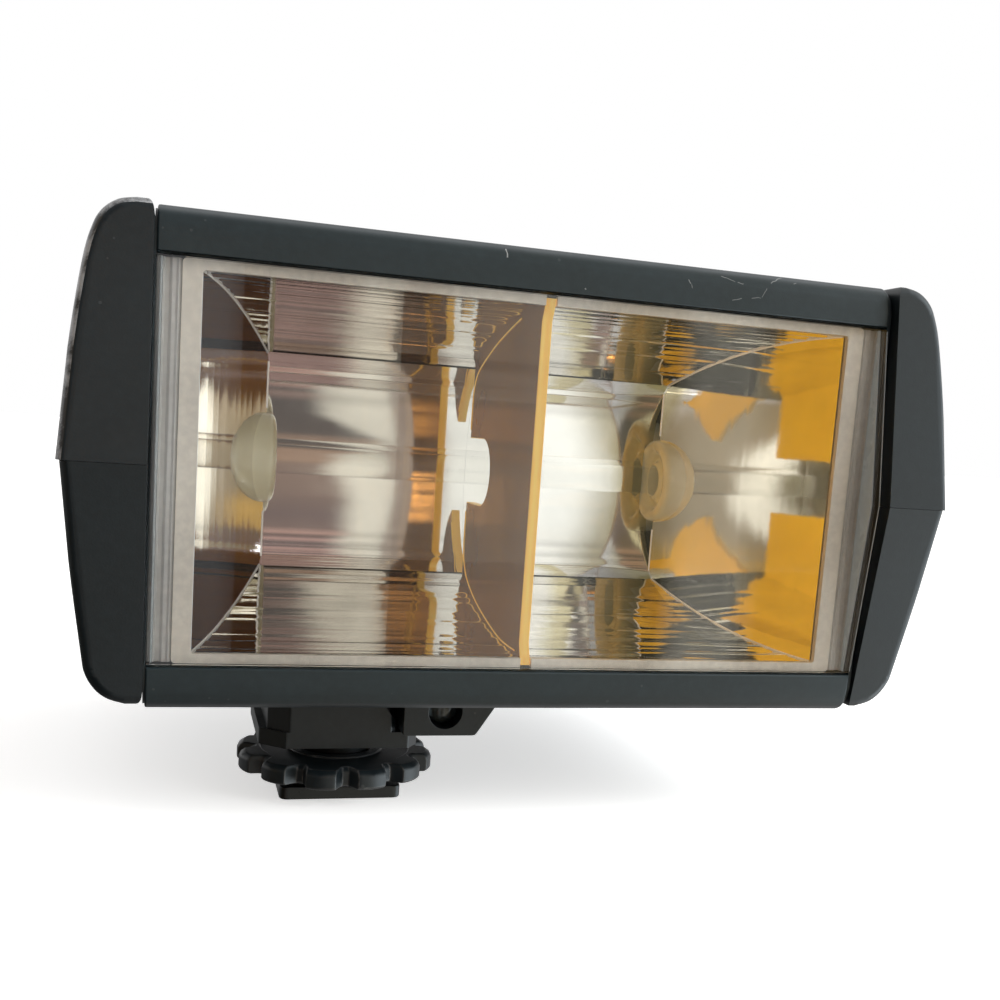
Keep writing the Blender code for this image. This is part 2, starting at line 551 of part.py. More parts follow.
for side_name, flip in (("left", False), ("right", True)):
    def sided(shape):
        return mirror_x(shape) if flip else shape

    rim_shape = [(3.4, -25.8), (50.95, -25.8), (50.95, -RIM_HALF), (RIM_IN, -RIM_HALF), (RIM_IN, RIM_HALF), (50.95, RIM_HALF), (50.95, 25.8), (3.4, 25.8)]
    put(f"reflector_rim_{side_name}", sided(prism("Y", rim_shape, 1.9, RIM_Y)), CREAM, head_pivot)
    trough = put(f"reflector_trough_{side_name}", sided(band(RIM_Y + GAP, 17.35, 50.85)), MIRROR, head_pivot)
    cut(trough, sided(rod("X", (TUBE_Y, TUBE_Z), GROMMET_R + 0.4, 15.0, GROMMET_X1 + 0.5)))
    end = put(f"reflector_end_{side_name}", sided(band(RIM_Y + GAP, 4.4, 17.0)), MIRROR, head_pivot)
    outline = plate_outline(0.4, RIM_Y + GAP + 0.001, PLATE_BACK)
    join(end, sided(curved(outline, lambda y: slant_x(y), lambda y: slant_x(y, -SHEET))))
    cut(end, sided(rod("X", (TUBE_Y, TUBE_Z), GROMMET_R + 0.4, 14.6, 19.0)))
    put(f"lamp_grommet_{side_name}", sided(lathe("X", (TUBE_Y, TUBE_Z), [(TUBE_R + 0.35, GROMMET_X0), (6.5, GROMMET_X0), (GROMMET_R, 16.5), (GROMMET_R, 18.1), (6.5, GROMMET_X1), (TUBE_R + 0.35, GROMMET_X1)], 28)), SILICONE, head_pivot)
    put(f"lamp_electrode_{side_name}", sided(lathe("X", (TUBE_Y, TUBE_Z), [(0, 6.0), (2.2, 6.0), (2.2, 8.2), (1.25, 8.2), (1.25, 14.0), (0.6, 15.0), (0, 15.0)], 16)), STEEL, head_pivot)

divider = put("cell_divider", prism("X", [(2.1, 25.5), (3.6, 25.5), (3.6, wall_z(3.6) - 0.35)] + plate_outline(-0.35, 4.2, 39.5)[1:-1] + [(3.6, -wall_z(3.6) + 0.35), (3.6, -25.5), (2.1, -25.5), (3.4, -20.0), (3.4, 20.0)], 51.25, 52.75), AMBER, head_pivot)
cut(divider, rod("X", (31.2, TUBE_Z), 5.4, 50, 54), box(50, 54, 31.2, 45, TUBE_Z - 5.4, TUBE_Z + 5.4))

put("flash_tube", tube("X", (TUBE_Y, TUBE_Z), 1.6, TUBE_R, 8.5, 95.5, 20), GLASS, head_pivot)
put("trigger_coil", box(62.0, 76.0, 26.0, 35.0, -27.8, -23.6), COPPER, head_pivot)
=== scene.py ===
"""The looks of a shoe-mount camera flash: a wide two-cell head between the side arms of its body.

Lengths in the shape code are millimetres in the head's measuring frame (X right as seen from the front, from the
head's left end; Y back from the window's edges; Z up from the window's middle). put() turns them into the row frame.
"""

import json
import math

import bmesh
import bpy
import numpy as np
from mathutils import Matrix, Vector

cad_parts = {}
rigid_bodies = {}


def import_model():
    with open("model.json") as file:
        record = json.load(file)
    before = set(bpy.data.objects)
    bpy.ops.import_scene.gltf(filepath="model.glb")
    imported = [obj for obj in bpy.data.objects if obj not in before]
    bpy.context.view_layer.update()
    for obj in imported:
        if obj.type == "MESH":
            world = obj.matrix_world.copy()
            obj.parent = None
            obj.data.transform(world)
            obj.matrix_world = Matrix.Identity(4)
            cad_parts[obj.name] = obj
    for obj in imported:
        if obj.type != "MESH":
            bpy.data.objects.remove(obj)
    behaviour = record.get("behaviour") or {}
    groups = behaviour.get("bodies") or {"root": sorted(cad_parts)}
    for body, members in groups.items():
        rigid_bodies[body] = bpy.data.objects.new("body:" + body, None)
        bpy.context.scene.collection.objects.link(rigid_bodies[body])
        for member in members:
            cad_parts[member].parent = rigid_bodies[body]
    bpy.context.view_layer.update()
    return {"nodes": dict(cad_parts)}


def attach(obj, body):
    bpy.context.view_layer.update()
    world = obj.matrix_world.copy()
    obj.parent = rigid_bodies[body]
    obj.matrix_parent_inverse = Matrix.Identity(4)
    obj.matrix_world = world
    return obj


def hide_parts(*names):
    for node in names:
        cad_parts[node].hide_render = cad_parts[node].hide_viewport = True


for old in list(bpy.data.objects):
    bpy.data.objects.remove(old, do_unlink=True)
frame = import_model()

MM = 0.001
ORIGIN = (29.15, 22.0, -50.3)
HEAD_WIDE, WINDOW_HALF, HEAD_HALF, RIDGE = 104.0, 26.0, 32.1, 3.0
PIVOT_Y, BAY_BACK, BODY_BACK, BAY_LEFT, BAY_RIGHT, WALL = 26.0, 59.3, 94.0, 0.05, 0.5, 1.8
RIM_Y, RIM_HALF, RIM_IN = 2.75, 24.5, 5.9
CORNER_Y, CORNER_Z, BACK_Y, LEAN, CURL, PLATE_BACK, SHEET = 40.5, 17.3, 45.3, 0.24, 0.0014, 41.5, 0.8
TUBE_Y, TUBE_Z, TUBE_R = 41.5, 0.4, 2.3
FOOT_X, FOOT_Y, FOOT_SIDE, FOOT_BOTTOM, FOOT_TOP, STEM_R = 29.15, 27.3, 18.6, -50.3, -48.3, 5.5
WHEEL_R, WHEEL_LOBES, WHEEL_LOW, WHEEL_HIGH, BLOCK_LOW = 15.5, 12, -47.15, -44.2, -42.3
DIAL_X, DIAL_Z, DIAL_R, COLUMN_X = 21.6, 3.0, 18.0, 50.0
PANEL_Y0, PANEL_Y1, DOOR_X0, DOOR_X1, DOOR_HALF, HINGE_X, HINGE_Y = 91.9, 93.9, 57.8, 108.2, 16.8, 109.4, 95.6
SIDE_UP = [(10.75, 0.03), (9.7, 13.5), (8.35, 24.0), (7.3, 28.3), (6.2, 30.4), (4.4, 31.8), (2.2, 32.3)]
SIDE_DOWN = [(10.3, -0.03), (9.2, -12.5), (7.7, -24.5), (7.2, -27.3), (6.0, -29.4), (4.4, -30.7), (2.2, -31.4)]


# ================================================================ shapes
def place(axis, u, v, w):
    return {"X": (w, u, v), "Y": (u, w, v), "Z": (u, v, w)}[axis]


def prism(axis, outline, low, high):
    made = bmesh.new()
    a = [made.verts.new(place(axis, u, v, low)) for u, v in outline]
    b = [made.verts.new(place(axis, u, v, high)) for u, v in outline]
    made.faces.new(a)
    made.faces.new(b[::-1])
    for i in range(len(outline)):
        j = (i + 1) % len(outline)
        made.faces.new((a[i], b[i], b[j], a[j]))
    bmesh.ops.recalc_face_normals(made, faces=made.faces)
    return made


def stack(rings):
    """A closed skin through rings of points, one after another, with flat ends."""
    made = bmesh.new()
    laid = [[made.verts.new(p) for p in ring] for ring in rings]
    made.faces.new(laid[0])
    made.faces.new(laid[-1][::-1])
    for a, b in zip(laid, laid[1:]):
        for i in range(len(a)):
            j = (i + 1) % len(a)
            made.faces.new((a[i], b[i], b[j], a[j]))
    bmesh.ops.recalc_face_normals(made, faces=made.faces)
    return made


def box(x0, x1, y0, y1, z0, z1):
    return prism("Z", [(x0, y0), (x1, y0), (x1, y1), (x0, y1)], z0, z1)


def lathe(axis, centre, profile, sides=64):
    """A profile of (radius, height along the axis) spun round it."""
    made = bmesh.new()
    rings = []
    for r, t in profile:
        if r < 1e-6:
            rings.append([made.verts.new(place(axis, *centre, t))])
            continue
        rings.append(
            [
                made.verts.new(place(axis, centre[0] + r * math.cos(2 * math.pi * i / sides), centre[1] + r * math.sin(2 * math.pi * i / sides), t))
                for i in range(sides)
            ]
        )
    pairs = list(zip(rings, rings[1:]))
    if len(rings[0]) > 1 or len(rings[-1]) > 1:
        pairs.append((rings[-1], rings[0]))
    for a, b in pairs:
        for i in range(sides):
            j = (i + 1) % sides
            if len(a) == 1 and len(b) == 1:
                break
            if len(a) == 1:
                made.faces.new((a[0], b[i], b[j]))
            elif len(b) == 1:
                made.faces.new((a[i], b[0], a[j]))
            else:
                made.faces.new((a[i], b[i], b[j], a[j]))
    bmesh.ops.recalc_face_normals(made, faces=made.faces)
    return made


def rod(axis, centre, r, low, high, sides=48):
    return lathe(axis, centre, [(0, low), (r, low), (r, high), (0, high)], sides)


def eased(profile, r=0.25, steps=3):
    """A turned profile whose corners off the axis are rounded."""
    made = []
    n = len(profile)
    for i, p in enumerate(profile):
        if i in (0, n - 1) and p[0] < 1e-6:
            made.append(p)
            continue
        a, b = Vector(profile[i - 1]), Vector(profile[(i + 1) % n])
        c = Vector(p)
        da, db = a - c, b - c
        cut = min(r, 0.42 * da.length, 0.42 * db.length)
        if cut < 1e-4 or abs(da.normalized().dot(db.normalized()) + 1) < 0.02:
            made.append(p)
            continue
        s, e = c + da.normalized() * cut, c + db.normalized() * cut
        for k in range(steps + 1):
            t = k / steps
            q = s * (1 - t) ** 2 + c * 2 * t * (1 - t) + e * t * t
            made.append((q.x, q.y))
    return made


def rounded(outline, r, steps=5):
    """A closed outline with its corners rounded. r is one radius or one for each corner."""
    made = []
    n = len(outline)
    for i, p in enumerate(outline):
        radius = r[i] if isinstance(r, (list, tuple)) else r
        a, b, c = Vector(outline[i - 1]), Vector(outline[(i + 1) % n]), Vector(p)
        da, db = (a - c), (b - c)
        cosine = max(-1.0, min(1.0, da.normalized().dot(db.normalized())))
        half = math.acos(cosine) / 2
        if radius <= 0 or half > math.radians(86):
            made.append(p)
            continue
        cut = min(radius / math.tan(half), 0.45 * da.length, 0.45 * db.length)
        s, e = c + da.normalized() * cut, c + db.normalized() * cut
        for k in range(steps + 1):
            t = k / steps
            q = s * (1 - t) ** 2 + c * 2 * t * (1 - t) + e * t * t
            made.append((q.x, q.y))
    return made


def through(points, steps=4, keep=1):
    """A smooth open line through the points; its first stretches, up to keep, stay straight."""
    made = []
    n = len(points)
    for i in range(n - 1):
        p0, p1, p2, p3 = (Vector(points[max(0, min(n - 1, i + k))]) for k in (-1, 0, 1, 2))
        if i < keep:
            made.append(tuple(p1))
            continue
        for s in range(steps):
            t = s / steps
            q = 0.5 * ((2 * p1) + (p2 - p0) * t + (2 * p0 - 5 * p1 + 4 * p2 - p3) * t * t + (3 * p1 - p0 - 3 * p2 + p3) * t**3)
            made.append(tuple(q))
    made.append(points[-1])
    return made


def offset_line(line, d):
    """An open line moved to its left by d, with mitred corners."""
    moved = []
    for i, (u, v) in enumerate(line):
        normals = []
        for a, b in ((i - 1, i), (i, i + 1)):
            if a < 0 or b >= len(line):
                continue
            du, dv = line[b][0] - line[a][0], line[b][1] - line[a][1]
            size = math.hypot(du, dv)
            normals.append((-dv / size, du / size))
        nu, nv = sum(n[0] for n in normals), sum(n[1] for n in normals)
        size = math.hypot(nu, nv)
        nu, nv = nu / size, nv / size
        cosine = nu * normals[0][0] + nv * normals[0][1]
        moved.append((u + nu * d / cosine, v + nv * d / cosine))
    return moved


def inset_side(side, d):
    sign = 1 if side[-1][1] > 0 else -1
    line = offset_line(side, d * sign)
    line[0] = (side[0][0] - d, side[0][1])
    line[-1] = (side[-1][0], side[-1][1] - sign * d)
    return line


def across(side, d, parting=None):
    line = inset_side(side, d) if d else list(side)
    if parting is not None:
        line = [(line[0][0], parting), *line]
    return [(HEAD_WIDE + e, z) for e, z in line] + [(-e, z) for e, z in reversed(line)]


def arc(cy, cz, r, start, stop, steps):
    return [
        (cy + r * math.cos(math.radians(start + (stop - start) * i / steps)), cz + r * math.sin(math.radians(start + (stop - start) * i / steps)))
        for i in range(steps + 1)
    ]


def mirror_x(shape):
    for v in shape.verts:
        v.co.x = HEAD_WIDE - v.co.x
    bmesh.ops.recalc_face_normals(shape, faces=shape.faces)
    return shape


def mirror_z(shape):
    for v in shape.verts:
        v.co.z = -v.co.z
    bmesh.ops.recalc_face_normals(shape, faces=shape.faces)
    return shape


def merged(*shapes):
    """Several closed shapes in one mesh."""
    made = bmesh.new()
    for shape in shapes:
        mesh = bpy.data.meshes.new("part")
        shape.to_mesh(mesh)
        shape.free()
        made.from_mesh(mesh)
        bpy.data.meshes.remove(mesh)
    return made


def mesh_of(shape):
    mesh = bpy.data.meshes.new("shape")
    shape.to_mesh(mesh)
    shape.free()
    return mesh


def bake(obj):
    """Replaces the object's mesh by the one its modifiers give."""
    bpy.context.view_layer.update()
    graph = bpy.context.evaluated_depsgraph_get()
    made = bpy.data.meshes.new_from_object(obj.evaluated_get(graph), preserve_all_data_layers=True, depsgraph=graph)
    before = obj.data
    obj.modifiers.clear()
    obj.data = made
    bpy.data.meshes.remove(before)


def put(name, shape, look, body, stands_for=(), joins=(), cuts=(), soft_edges=None, bevel=0.0, segments=3, angle=30, edge_wear_and_painted_glow=None, shade=30, wear_and_painted_light=None, sides=None):
    """Makes a piece from a shape. joins and cuts are further shapes. soft_edges is (test, width): edges that pass the
    test are rounded first, with a larger radius. bevel rounds every other edge. edge_wear_and_painted_glow is the look
    of the rounded edges: worn edges, and on the amber sheet a painted glow. wear_and_painted_light is (look, test) for
    the faces whose middle and normal pass the test: worn edges with a painted highlight, and a lit copy of the amber
    with a painted glow. sides is (look, test) for the faces whose normal passes the test."""
    obj = bpy.data.objects.new(name, mesh_of(shape))
    bpy.context.scene.collection.objects.link(obj)
    obj.data.materials.append(look)
    helpers = []
    for operation, shapes in (("UNION", joins), ("DIFFERENCE", cuts)):
        for extra in shapes:
            helper = bpy.data.objects.new(name + "_helper", mesh_of(extra))
            helper.data.materials.append(look)
            bpy.context.scene.collection.objects.link(helper)
            helpers.append(helper)
            step = obj.modifiers.new(operation, "BOOLEAN")
            step.operation, step.solver, step.object = operation, "EXACT", helper
    if helpers:
        bake(obj)
        for helper in helpers:
            data = helper.data
            bpy.data.objects.remove(helper, do_unlink=True)
            bpy.data.meshes.remove(data)
    if soft_edges or helpers:
        work = bmesh.new()
        work.from_mesh(obj.data)
        bmesh.ops.remove_doubles(work, verts=work.verts, dist=0.003)
        bmesh.ops.dissolve_limit(work, angle_limit=math.radians(0.4), verts=work.verts, edges=work.edges, delimit={"NORMAL"})
        for test, width, steps in soft_edges or ():
            edges = [e for e in work.edges if len(e.link_faces) == 2 and e.calc_face_angle(0) > math.radians(25) and test(*(v.co for v in e.verts))]
            if edges:
                bmesh.ops.bevel(work, geom=edges, offset=width, segments=steps, profile=0.5, affect="EDGES", clamp_overlap=True)
        work.to_mesh(obj.data)
        work.free()
    kept = [2 if wear_and_painted_light is not None and wear_and_painted_light[1](polygon.center, polygon.normal) else 0 for polygon in obj.data.polygons]
    obj.data.materials.clear()
    obj.data.materials.append(look)
    if edge_wear_and_painted_glow is not None:
        obj.data.materials.append(edge_wear_and_painted_glow)
    if wear_and_painted_light is not None:
        obj.data.materials.append(wear_and_painted_light[0])
    if sides is not None:
        obj.data.materials.append(sides[0])
        kept = [len(obj.data.materials) - 1 if sides[1](polygon.normal) else index for polygon, index in zip(obj.data.polygons, kept)]
    obj.data.polygons.foreach_set("material_index", kept)
    if bevel:
        step = obj.modifiers.new("edges", "BEVEL")
        step.width, step.segments, step.limit_method, step.angle_limit = bevel, segments, "ANGLE", math.radians(angle)
        step.use_clamp_overlap = True
        step.miter_outer = "MITER_ARC"
        if edge_wear_and_painted_glow is not None:
            step.material = 1
    obj.data.shade_smooth()
    obj.data.set_sharp_from_angle(angle=math.radians(shade if not bevel else 60))
    if bevel:
        step = obj.modifiers.new("normals", "WEIGHTED_NORMAL")
        step.keep_sharp = True
        step.weight = 80
        bake(obj)
    obj.data.transform(Matrix.Translation([-o * MM for o in ORIGIN]) @ Matrix.Scale(MM, 4))
    obj.data.name = name
    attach(obj, body)
    if stands_for:
        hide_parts(*([stands_for] if isinstance(stands_for, str) else stands_for))
    return obj


# ================================================================ materials
class Tree:
    """Short names for a material's nodes."""

    def __init__(self, tree):
        self.tree = tree

    def node(self, kind, inputs=None, **settings):
        made = self.tree.nodes.new(kind)
        for key, value in settings.items():
            setattr(made, key, value)
        for key, value in (inputs or {}).items():
            if isinstance(value, bpy.types.NodeSocket):
                self.tree.links.new(value, made.inputs[key])
            else:
                made.inputs[key].default_value = value
        return made

    def math(self, operation, a, b=0.0, c=None, clamp=False):
        inputs = {0: a, 1: b}
        if c is not None:
            inputs[2] = c
        return self.node("ShaderNodeMath", inputs, operation=operation, use_clamp=clamp).outputs[0]

    def noise(self, where, scale, detail=3.0, rough=0.5, distortion=0.0):
        return self.node("ShaderNodeTexNoise", {"Vector": where, "Scale": scale, "Detail": detail, "Roughness": rough, "Distortion": distortion}).outputs["Fac"]

    def stretch(self, where, scale, rotate=(0, 0, 0)):
        return self.node("ShaderNodeMapping", {"Vector": where, "Scale": scale, "Rotation": rotate}).outputs[0]

    def ramp(self, fac, stops, interpolation="LINEAR"):
        made = self.node("ShaderNodeValToRGB", {"Fac": fac})
        ramp = made.color_ramp
        ramp.interpolation = interpolation
        while len(ramp.elements) > 1:
            ramp.elements.remove(ramp.elements[-1])
        for i, (at, colour) in enumerate(stops):
            stop = ramp.elements[0] if i == 0 else ramp.elements.new(at)
            stop.position = at
            stop.color = (*colour, 1.0) if len(colour) == 3 else colour
        return made.outputs["Color"]

    def mix(self, fac, a, b, blend="MIX"):
        made = self.node("ShaderNodeMix", data_type="RGBA", blend_type=blend)
        for key, value in ((0, fac), (6, a), (7, b)):
            if isinstance(value, bpy.types.NodeSocket):
                self.tree.links.new(value, made.inputs[key])
            else:
                made.inputs[key].default_value = (*value, 1.0) if isinstance(value, tuple) and len(value) == 3 else value
        return made.outputs[2]

    def between(self, fac, low, high, from_low=0.0, from_high=1.0):
        return self.node("ShaderNodeMapRange", {"Value": fac, "From Min": from_low, "From Max": from_high, "To Min": low, "To Max": high}).outputs[0]

    def bump(self, height, strength, distance, normal=None):
        inputs = {"Height": height, "Strength": strength, "Distance": distance}
        if normal is not None:
            inputs["Normal"] = normal
        return self.node("ShaderNodeBump", inputs).outputs[0]


def new_look(name, **sockets):
    made = bpy.data.materials.new(name)
    made.use_nodes = True
    tree = Tree(made.node_tree)
    shader = made.node_tree.nodes["Principled BSDF"]
    for key, value in sockets.items():
        shader.inputs[key.replace("_", " ")].default_value = value
    where = tree.node("ShaderNodeTexCoord").outputs["Object"]
    return made, tree, shader, where


def set_input(tree, shader, name, socket):
    tree.tree.links.new(socket, shader.inputs[name])


def moulded(name, colour, rough, grain=0.35, dust=0.0, worn=0.0, worn_colour=(0.30, 0.31, 0.33), scratches=(), **sockets):
    """Moulded plastic: a fine sparked texture, uneven gloss, dust in places, and worn spots that the noise breaks up.
    """
    made, t, shader, where = new_look(name, **sockets)
    broad = t.noise(where, 55.0, 4.0)
    fine = t.noise(where, 900.0, 3.0)
    dark, pale = tuple(c * 0.90 for c in colour), tuple(c * 1.12 for c in colour)
    tint = t.mix(t.between(broad, 0, 1, 0.35, 0.65), dark, pale)
    tint = t.mix(t.math("MULTIPLY", t.between(fine, 0, 1, 0.4, 0.7), 0.25), tint, tuple(c * 1.5 + 0.004 for c in colour))
    gloss = t.between(t.noise(where, 130.0, 5.0, 0.6), rough - 0.03, rough + 0.05, 0.3, 0.7)
    if dust:
        specks = t.node("ShaderNodeTexVoronoi", {"Vector": where, "Scale": 420.0, "Randomness": 1.0}, feature="F1").outputs["Distance"]
        patchy = t.between(t.noise(where, 38.0, 2.0), 0.0, 0.17, 0.45, 0.72)
        spot = t.math("MULTIPLY", t.math("LESS_THAN", specks, patchy), dust)
        tint = t.mix(spot, tint, (0.22, 0.22, 0.22))
    if worn:
        chips = t.between(t.noise(where, 260.0, 5.0, 0.65), 0, 1, 0.62 - worn * 0.25, 0.68 - worn * 0.1)
        chips = t.math("MINIMUM", t.math("MAXIMUM", chips, 0.0), 1.0)
        tint = t.mix(chips, tint, worn_colour)
        gloss = t.math("SUBTRACT", gloss, t.math("MULTIPLY", chips, 0.08))
    if scratches:
        parts = t.node("ShaderNodeSeparateXYZ", {0: where})
        ragged = t.math("MULTIPLY", t.math("SUBTRACT", t.noise(where, 700.0, 2.0), 0.5), 0.0005)
        for (x0, z0), (x1, z1), wide, amount in scratches:
            # a thin line between two points of the front, in X and Z
            x0, x1, z0, z1 = (x0 - ORIGIN[0]) * MM, (x1 - ORIGIN[0]) * MM, (z0 - ORIGIN[2]) * MM, (z1 - ORIGIN[2]) * MM
            size = math.hypot(x1 - x0, z1 - z0)
            ux, uz = (x1 - x0) / size, (z1 - z0) / size
            dx, dz = t.math("SUBTRACT", parts.outputs[0], x0), t.math("SUBTRACT", parts.outputs[2], z0)
            along = t.math("ADD", t.math("MULTIPLY", dx, ux), t.math("MULTIPLY", dz, uz))
            off = t.math("ADD", t.math("ADD", t.math("MULTIPLY", dx, -uz), t.math("MULTIPLY", dz, ux)), ragged)
            inside = t.math("LESS_THAN", t.math("ABSOLUTE", t.math("SUBTRACT", along, size / 2)), size / 2)
            near = t.math("LESS_THAN", t.math("ABSOLUTE", off), wide * MM)
            front = t.math("LESS_THAN", parts.outputs[1], (3.0 - ORIGIN[1]) * MM)
            tint = t.mix(t.math("MULTIPLY", t.math("MULTIPLY", inside, near), t.math("MULTIPLY", front, amount)), tint, (0.30, 0.31, 0.31))
    set_input(t, shader, "Base Color", tint)
    set_input(t, shader, "Roughness", gloss)
    texture = t.math("ADD", t.noise(where, 3600.0, 2.0), t.math("MULTIPLY", t.noise(where, 420.0, 3.0), 0.6))
    set_input(t, shader, "Normal", t.bump(texture, grain, 0.00003))
    return made


def metal(name, colour, rough, streak=None, spots=0.0, depth=0.00002, strength=0.3, painted_reflection_along_x=None, **sockets):
    """Metal with streaks along one axis, in uneven gloss. painted_reflection_along_x is where along X a brownish tint
    starts and is full; the tint is a painted reflection.
    """
    made, t, shader, where = new_look(name, Metallic=1.0, **sockets)
    broad = t.noise(where, 70.0, 4.0)
    tint = t.mix(t.between(broad, 0, 1, 0.3, 0.7), tuple(c * 0.9 for c in colour), tuple(min(1.0, c * 1.06) for c in colour))
    if spots:
        marks = t.between(t.noise(where, 700.0, 4.0, 0.7), 0.0, 1.0, 0.62, 0.72)
        tint = t.mix(t.math("MULTIPLY", t.math("MAXIMUM", marks, 0.0), spots), tint, tuple(c * 0.45 for c in colour))
    scale = {"X": (25.0, 2600.0, 2600.0), "Y": (2600.0, 25.0, 2600.0), "Z": (2600.0, 2600.0, 25.0)}.get(streak, (900.0, 900.0, 900.0))
    lines = t.noise(t.stretch(where, scale), 1.0, 3.0, 0.6)
    # a brownish tint from a given X onwards, painted in as a reflection
    if painted_reflection_along_x:
        along = t.node("ShaderNodeSeparateXYZ", {0: where}).outputs[0]
        along = t.math("ADD", along, t.math("MULTIPLY", t.math("SUBTRACT", t.noise(where, 60.0, 3.0), 0.5), 0.012))
        tint = t.mix(t.node("ShaderNodeMapRange", {"Value": along, "From Min": painted_reflection_along_x[0], "From Max": painted_reflection_along_x[1], "To Min": 0.0, "To Max": 1.0}).outputs[0], tint, (0.66, 0.60, 0.40))
    set_input(t, shader, "Base Color", tint)
    set_input(t, shader, "Roughness", t.between(t.noise(where, 220.0, 4.0), rough * 0.8, rough * 1.3, 0.3, 0.7))
    set_input(t, shader, "Normal", t.bump(lines, strength, depth))
    return made


BLACK = moulded("black_shell", (0.0075, 0.0130, 0.0165), 0.42, dust=0.10)
HEAD_BLACK = moulded(
    "black_head_shell", (0.0110, 0.0205, 0.0250), 0.43, dust=0.10,
    scratches=[
        ((44.9, 31.3), (45.0, 30.1), 0.09, 0.8), ((76.5, 30.9), (78.6, 30.4), 0.05, 0.5), ((79.0, 30.3), (79.9, 30.2), 0.05, 0.5), ((71.4, 29.9), (71.8, 29.4), 0.06, 0.6),
        ((71.9, 29.3), (72.1, 28.8), 0.05, 0.5), ((86.6, 31.9), (84.3, 30.7), 0.06, 0.6), ((83.6, 29.9), (82.7, 28.6), 0.045, 0.45), ((82.6, 28.5), (81.2, 28.2), 0.045, 0.45),
        ((78.2, 27.7), (79.6, 28.1), 0.05, 0.5), ((56.2, 27.2), (56.3, 27.0), 0.09, 0.6), ((88.0, 31.0), (88.5, 31.1), 0.06, 0.5),
    ],
)
BLACK_EDGE = moulded("black_shell_edge", (0.022, 0.025, 0.027), 0.34, grain=0.2, worn=0.25, worn_colour=(0.10, 0.105, 0.11))
# worn paint on the left arm's rounded front edge, made lighter still as a painted highlight of light from the left
RUBBED_PAINTED_HIGHLIGHT = moulded("rubbed_edge_painted_highlight", (0.05, 0.053, 0.058), 0.22, grain=0.25, worn=0.7, worn_colour=(0.40, 0.41, 0.43))
PANEL = moulded("black_panel", (0.021, 0.022, 0.024), 0.46, grain=0.6, dust=0.12)
PANEL_EDGE = moulded("black_panel_edge", (0.032, 0.033, 0.036), 0.36, grain=0.2, worn=0.3, worn_colour=(0.12, 0.12, 0.125))
GLOSSY = moulded("black_control", (0.016, 0.0165, 0.018), 0.28, grain=0.15, dust=0.1)
GLOSSY_EDGE = moulded("black_control_edge", (0.03, 0.03, 0.033), 0.25, grain=0.1, worn=0.35, worn_colour=(0.16, 0.16, 0.165))
DIAL_GREY = moulded("dial_grey", (0.095, 0.095, 0.10), 0.42, grain=0.25, dust=0.1)
NYLON = moulded("nylon", (0.66, 0.64, 0.58), 0.45, grain=0.2)
BOARD = moulded("board", (0.05, 0.16, 0.07), 0.4, grain=0.5)
SLEEVE = moulded("capacitor_sleeve", (0.02, 0.03, 0.09), 0.3, grain=0.1)
CELL = moulded("cell_jacket", (0.16, 0.19, 0.22), 0.28, grain=0.08)
LETTER = moulded("white_ink", (0.70, 0.70, 0.68), 0.5, grain=0.1)
YELLOW_INK = moulded("yellow_ink", (0.75, 0.52, 0.08), 0.5, grain=0.1)
STEEL = metal("steel", (0.60, 0.60, 0.61), 0.28, spots=0.3)
DARK_METAL = metal("blackened_steel", (0.045, 0.048, 0.050), 0.34, streak="Y", spots=0.2)
BRASS = metal("brass", (0.72, 0.55, 0.27), 0.3, spots=0.2)
COPPER = metal("winding", (0.62, 0.30, 0.12), 0.38, streak="X")
# the right trough's outer part, from X = 78 mm onwards, gets a brownish painted reflection
MIRROR = metal("reflector_metal", (0.90, 0.885, 0.865), 0.05, streak="X", depth=0.000006, strength=0.14, painted_reflection_along_x=(0.049, 0.054))
PLATE = metal("reflector_plate", (0.88, 0.865, 0.84), 0.05, depth=0.00002, strength=0.12)
RIM = moulded("rim_sheet", (0.90, 0.83, 0.72), 0.34, grain=0.3, Coat_Weight=0.15)


SEAT = moulded("window_seat", (0.58, 0.56, 0.53), 0.32, grain=0.2)
# a grey liner at each window end; its faint emission is a painted glow that lightens the window's ends
LINER = moulded("window_end_liner", (0.30, 0.32, 0.32), 0.26, grain=0.2, Emission_Color=(0.90, 1.0, 1.0, 1.0), Emission_Strength=0.08)
# a bright metal for the end plates' edge beads; its faint emission is a painted highlight
CUT_EDGE_PAINTED_HIGHLIGHT = metal("cut_edge_painted_highlight", (0.93, 0.92, 0.90), 0.32, Emission_Color=(1.0, 0.98, 0.93, 1.0), Emission_Strength=0.10)


def clear(name, colour, rough, ior, grain=0.0, **sockets):
    made, t, shader, where = new_look(name, Transmission_Weight=1.0, IOR=ior, **sockets)
    tint = t.mix(t.between(t.noise(where, 40.0, 2.0), 0, 1), tuple(c * 0.985 for c in colour), colour)
    smear = t.between(t.noise(where, 60.0, 4.0), rough, rough + 0.03, 0.45, 0.8)
    set_input(t, shader, "Base Color", tint)
    set_input(t, shader, "Roughness", smear)
    if grain:
        set_input(t, shader, "Normal", t.bump(t.noise(where, 160.0, 2.0), grain, 0.00003))
    return made


CLEAR = clear("clear_window", (0.97, 0.975, 0.98), 0.0, 1.49)
GLASS = clear("lamp_glass", (0.99, 0.99, 0.985), 0.0, 1.05)
LENS = clear("sensor_lens", (0.20, 0.23, 0.24), 0.02, 1.5)


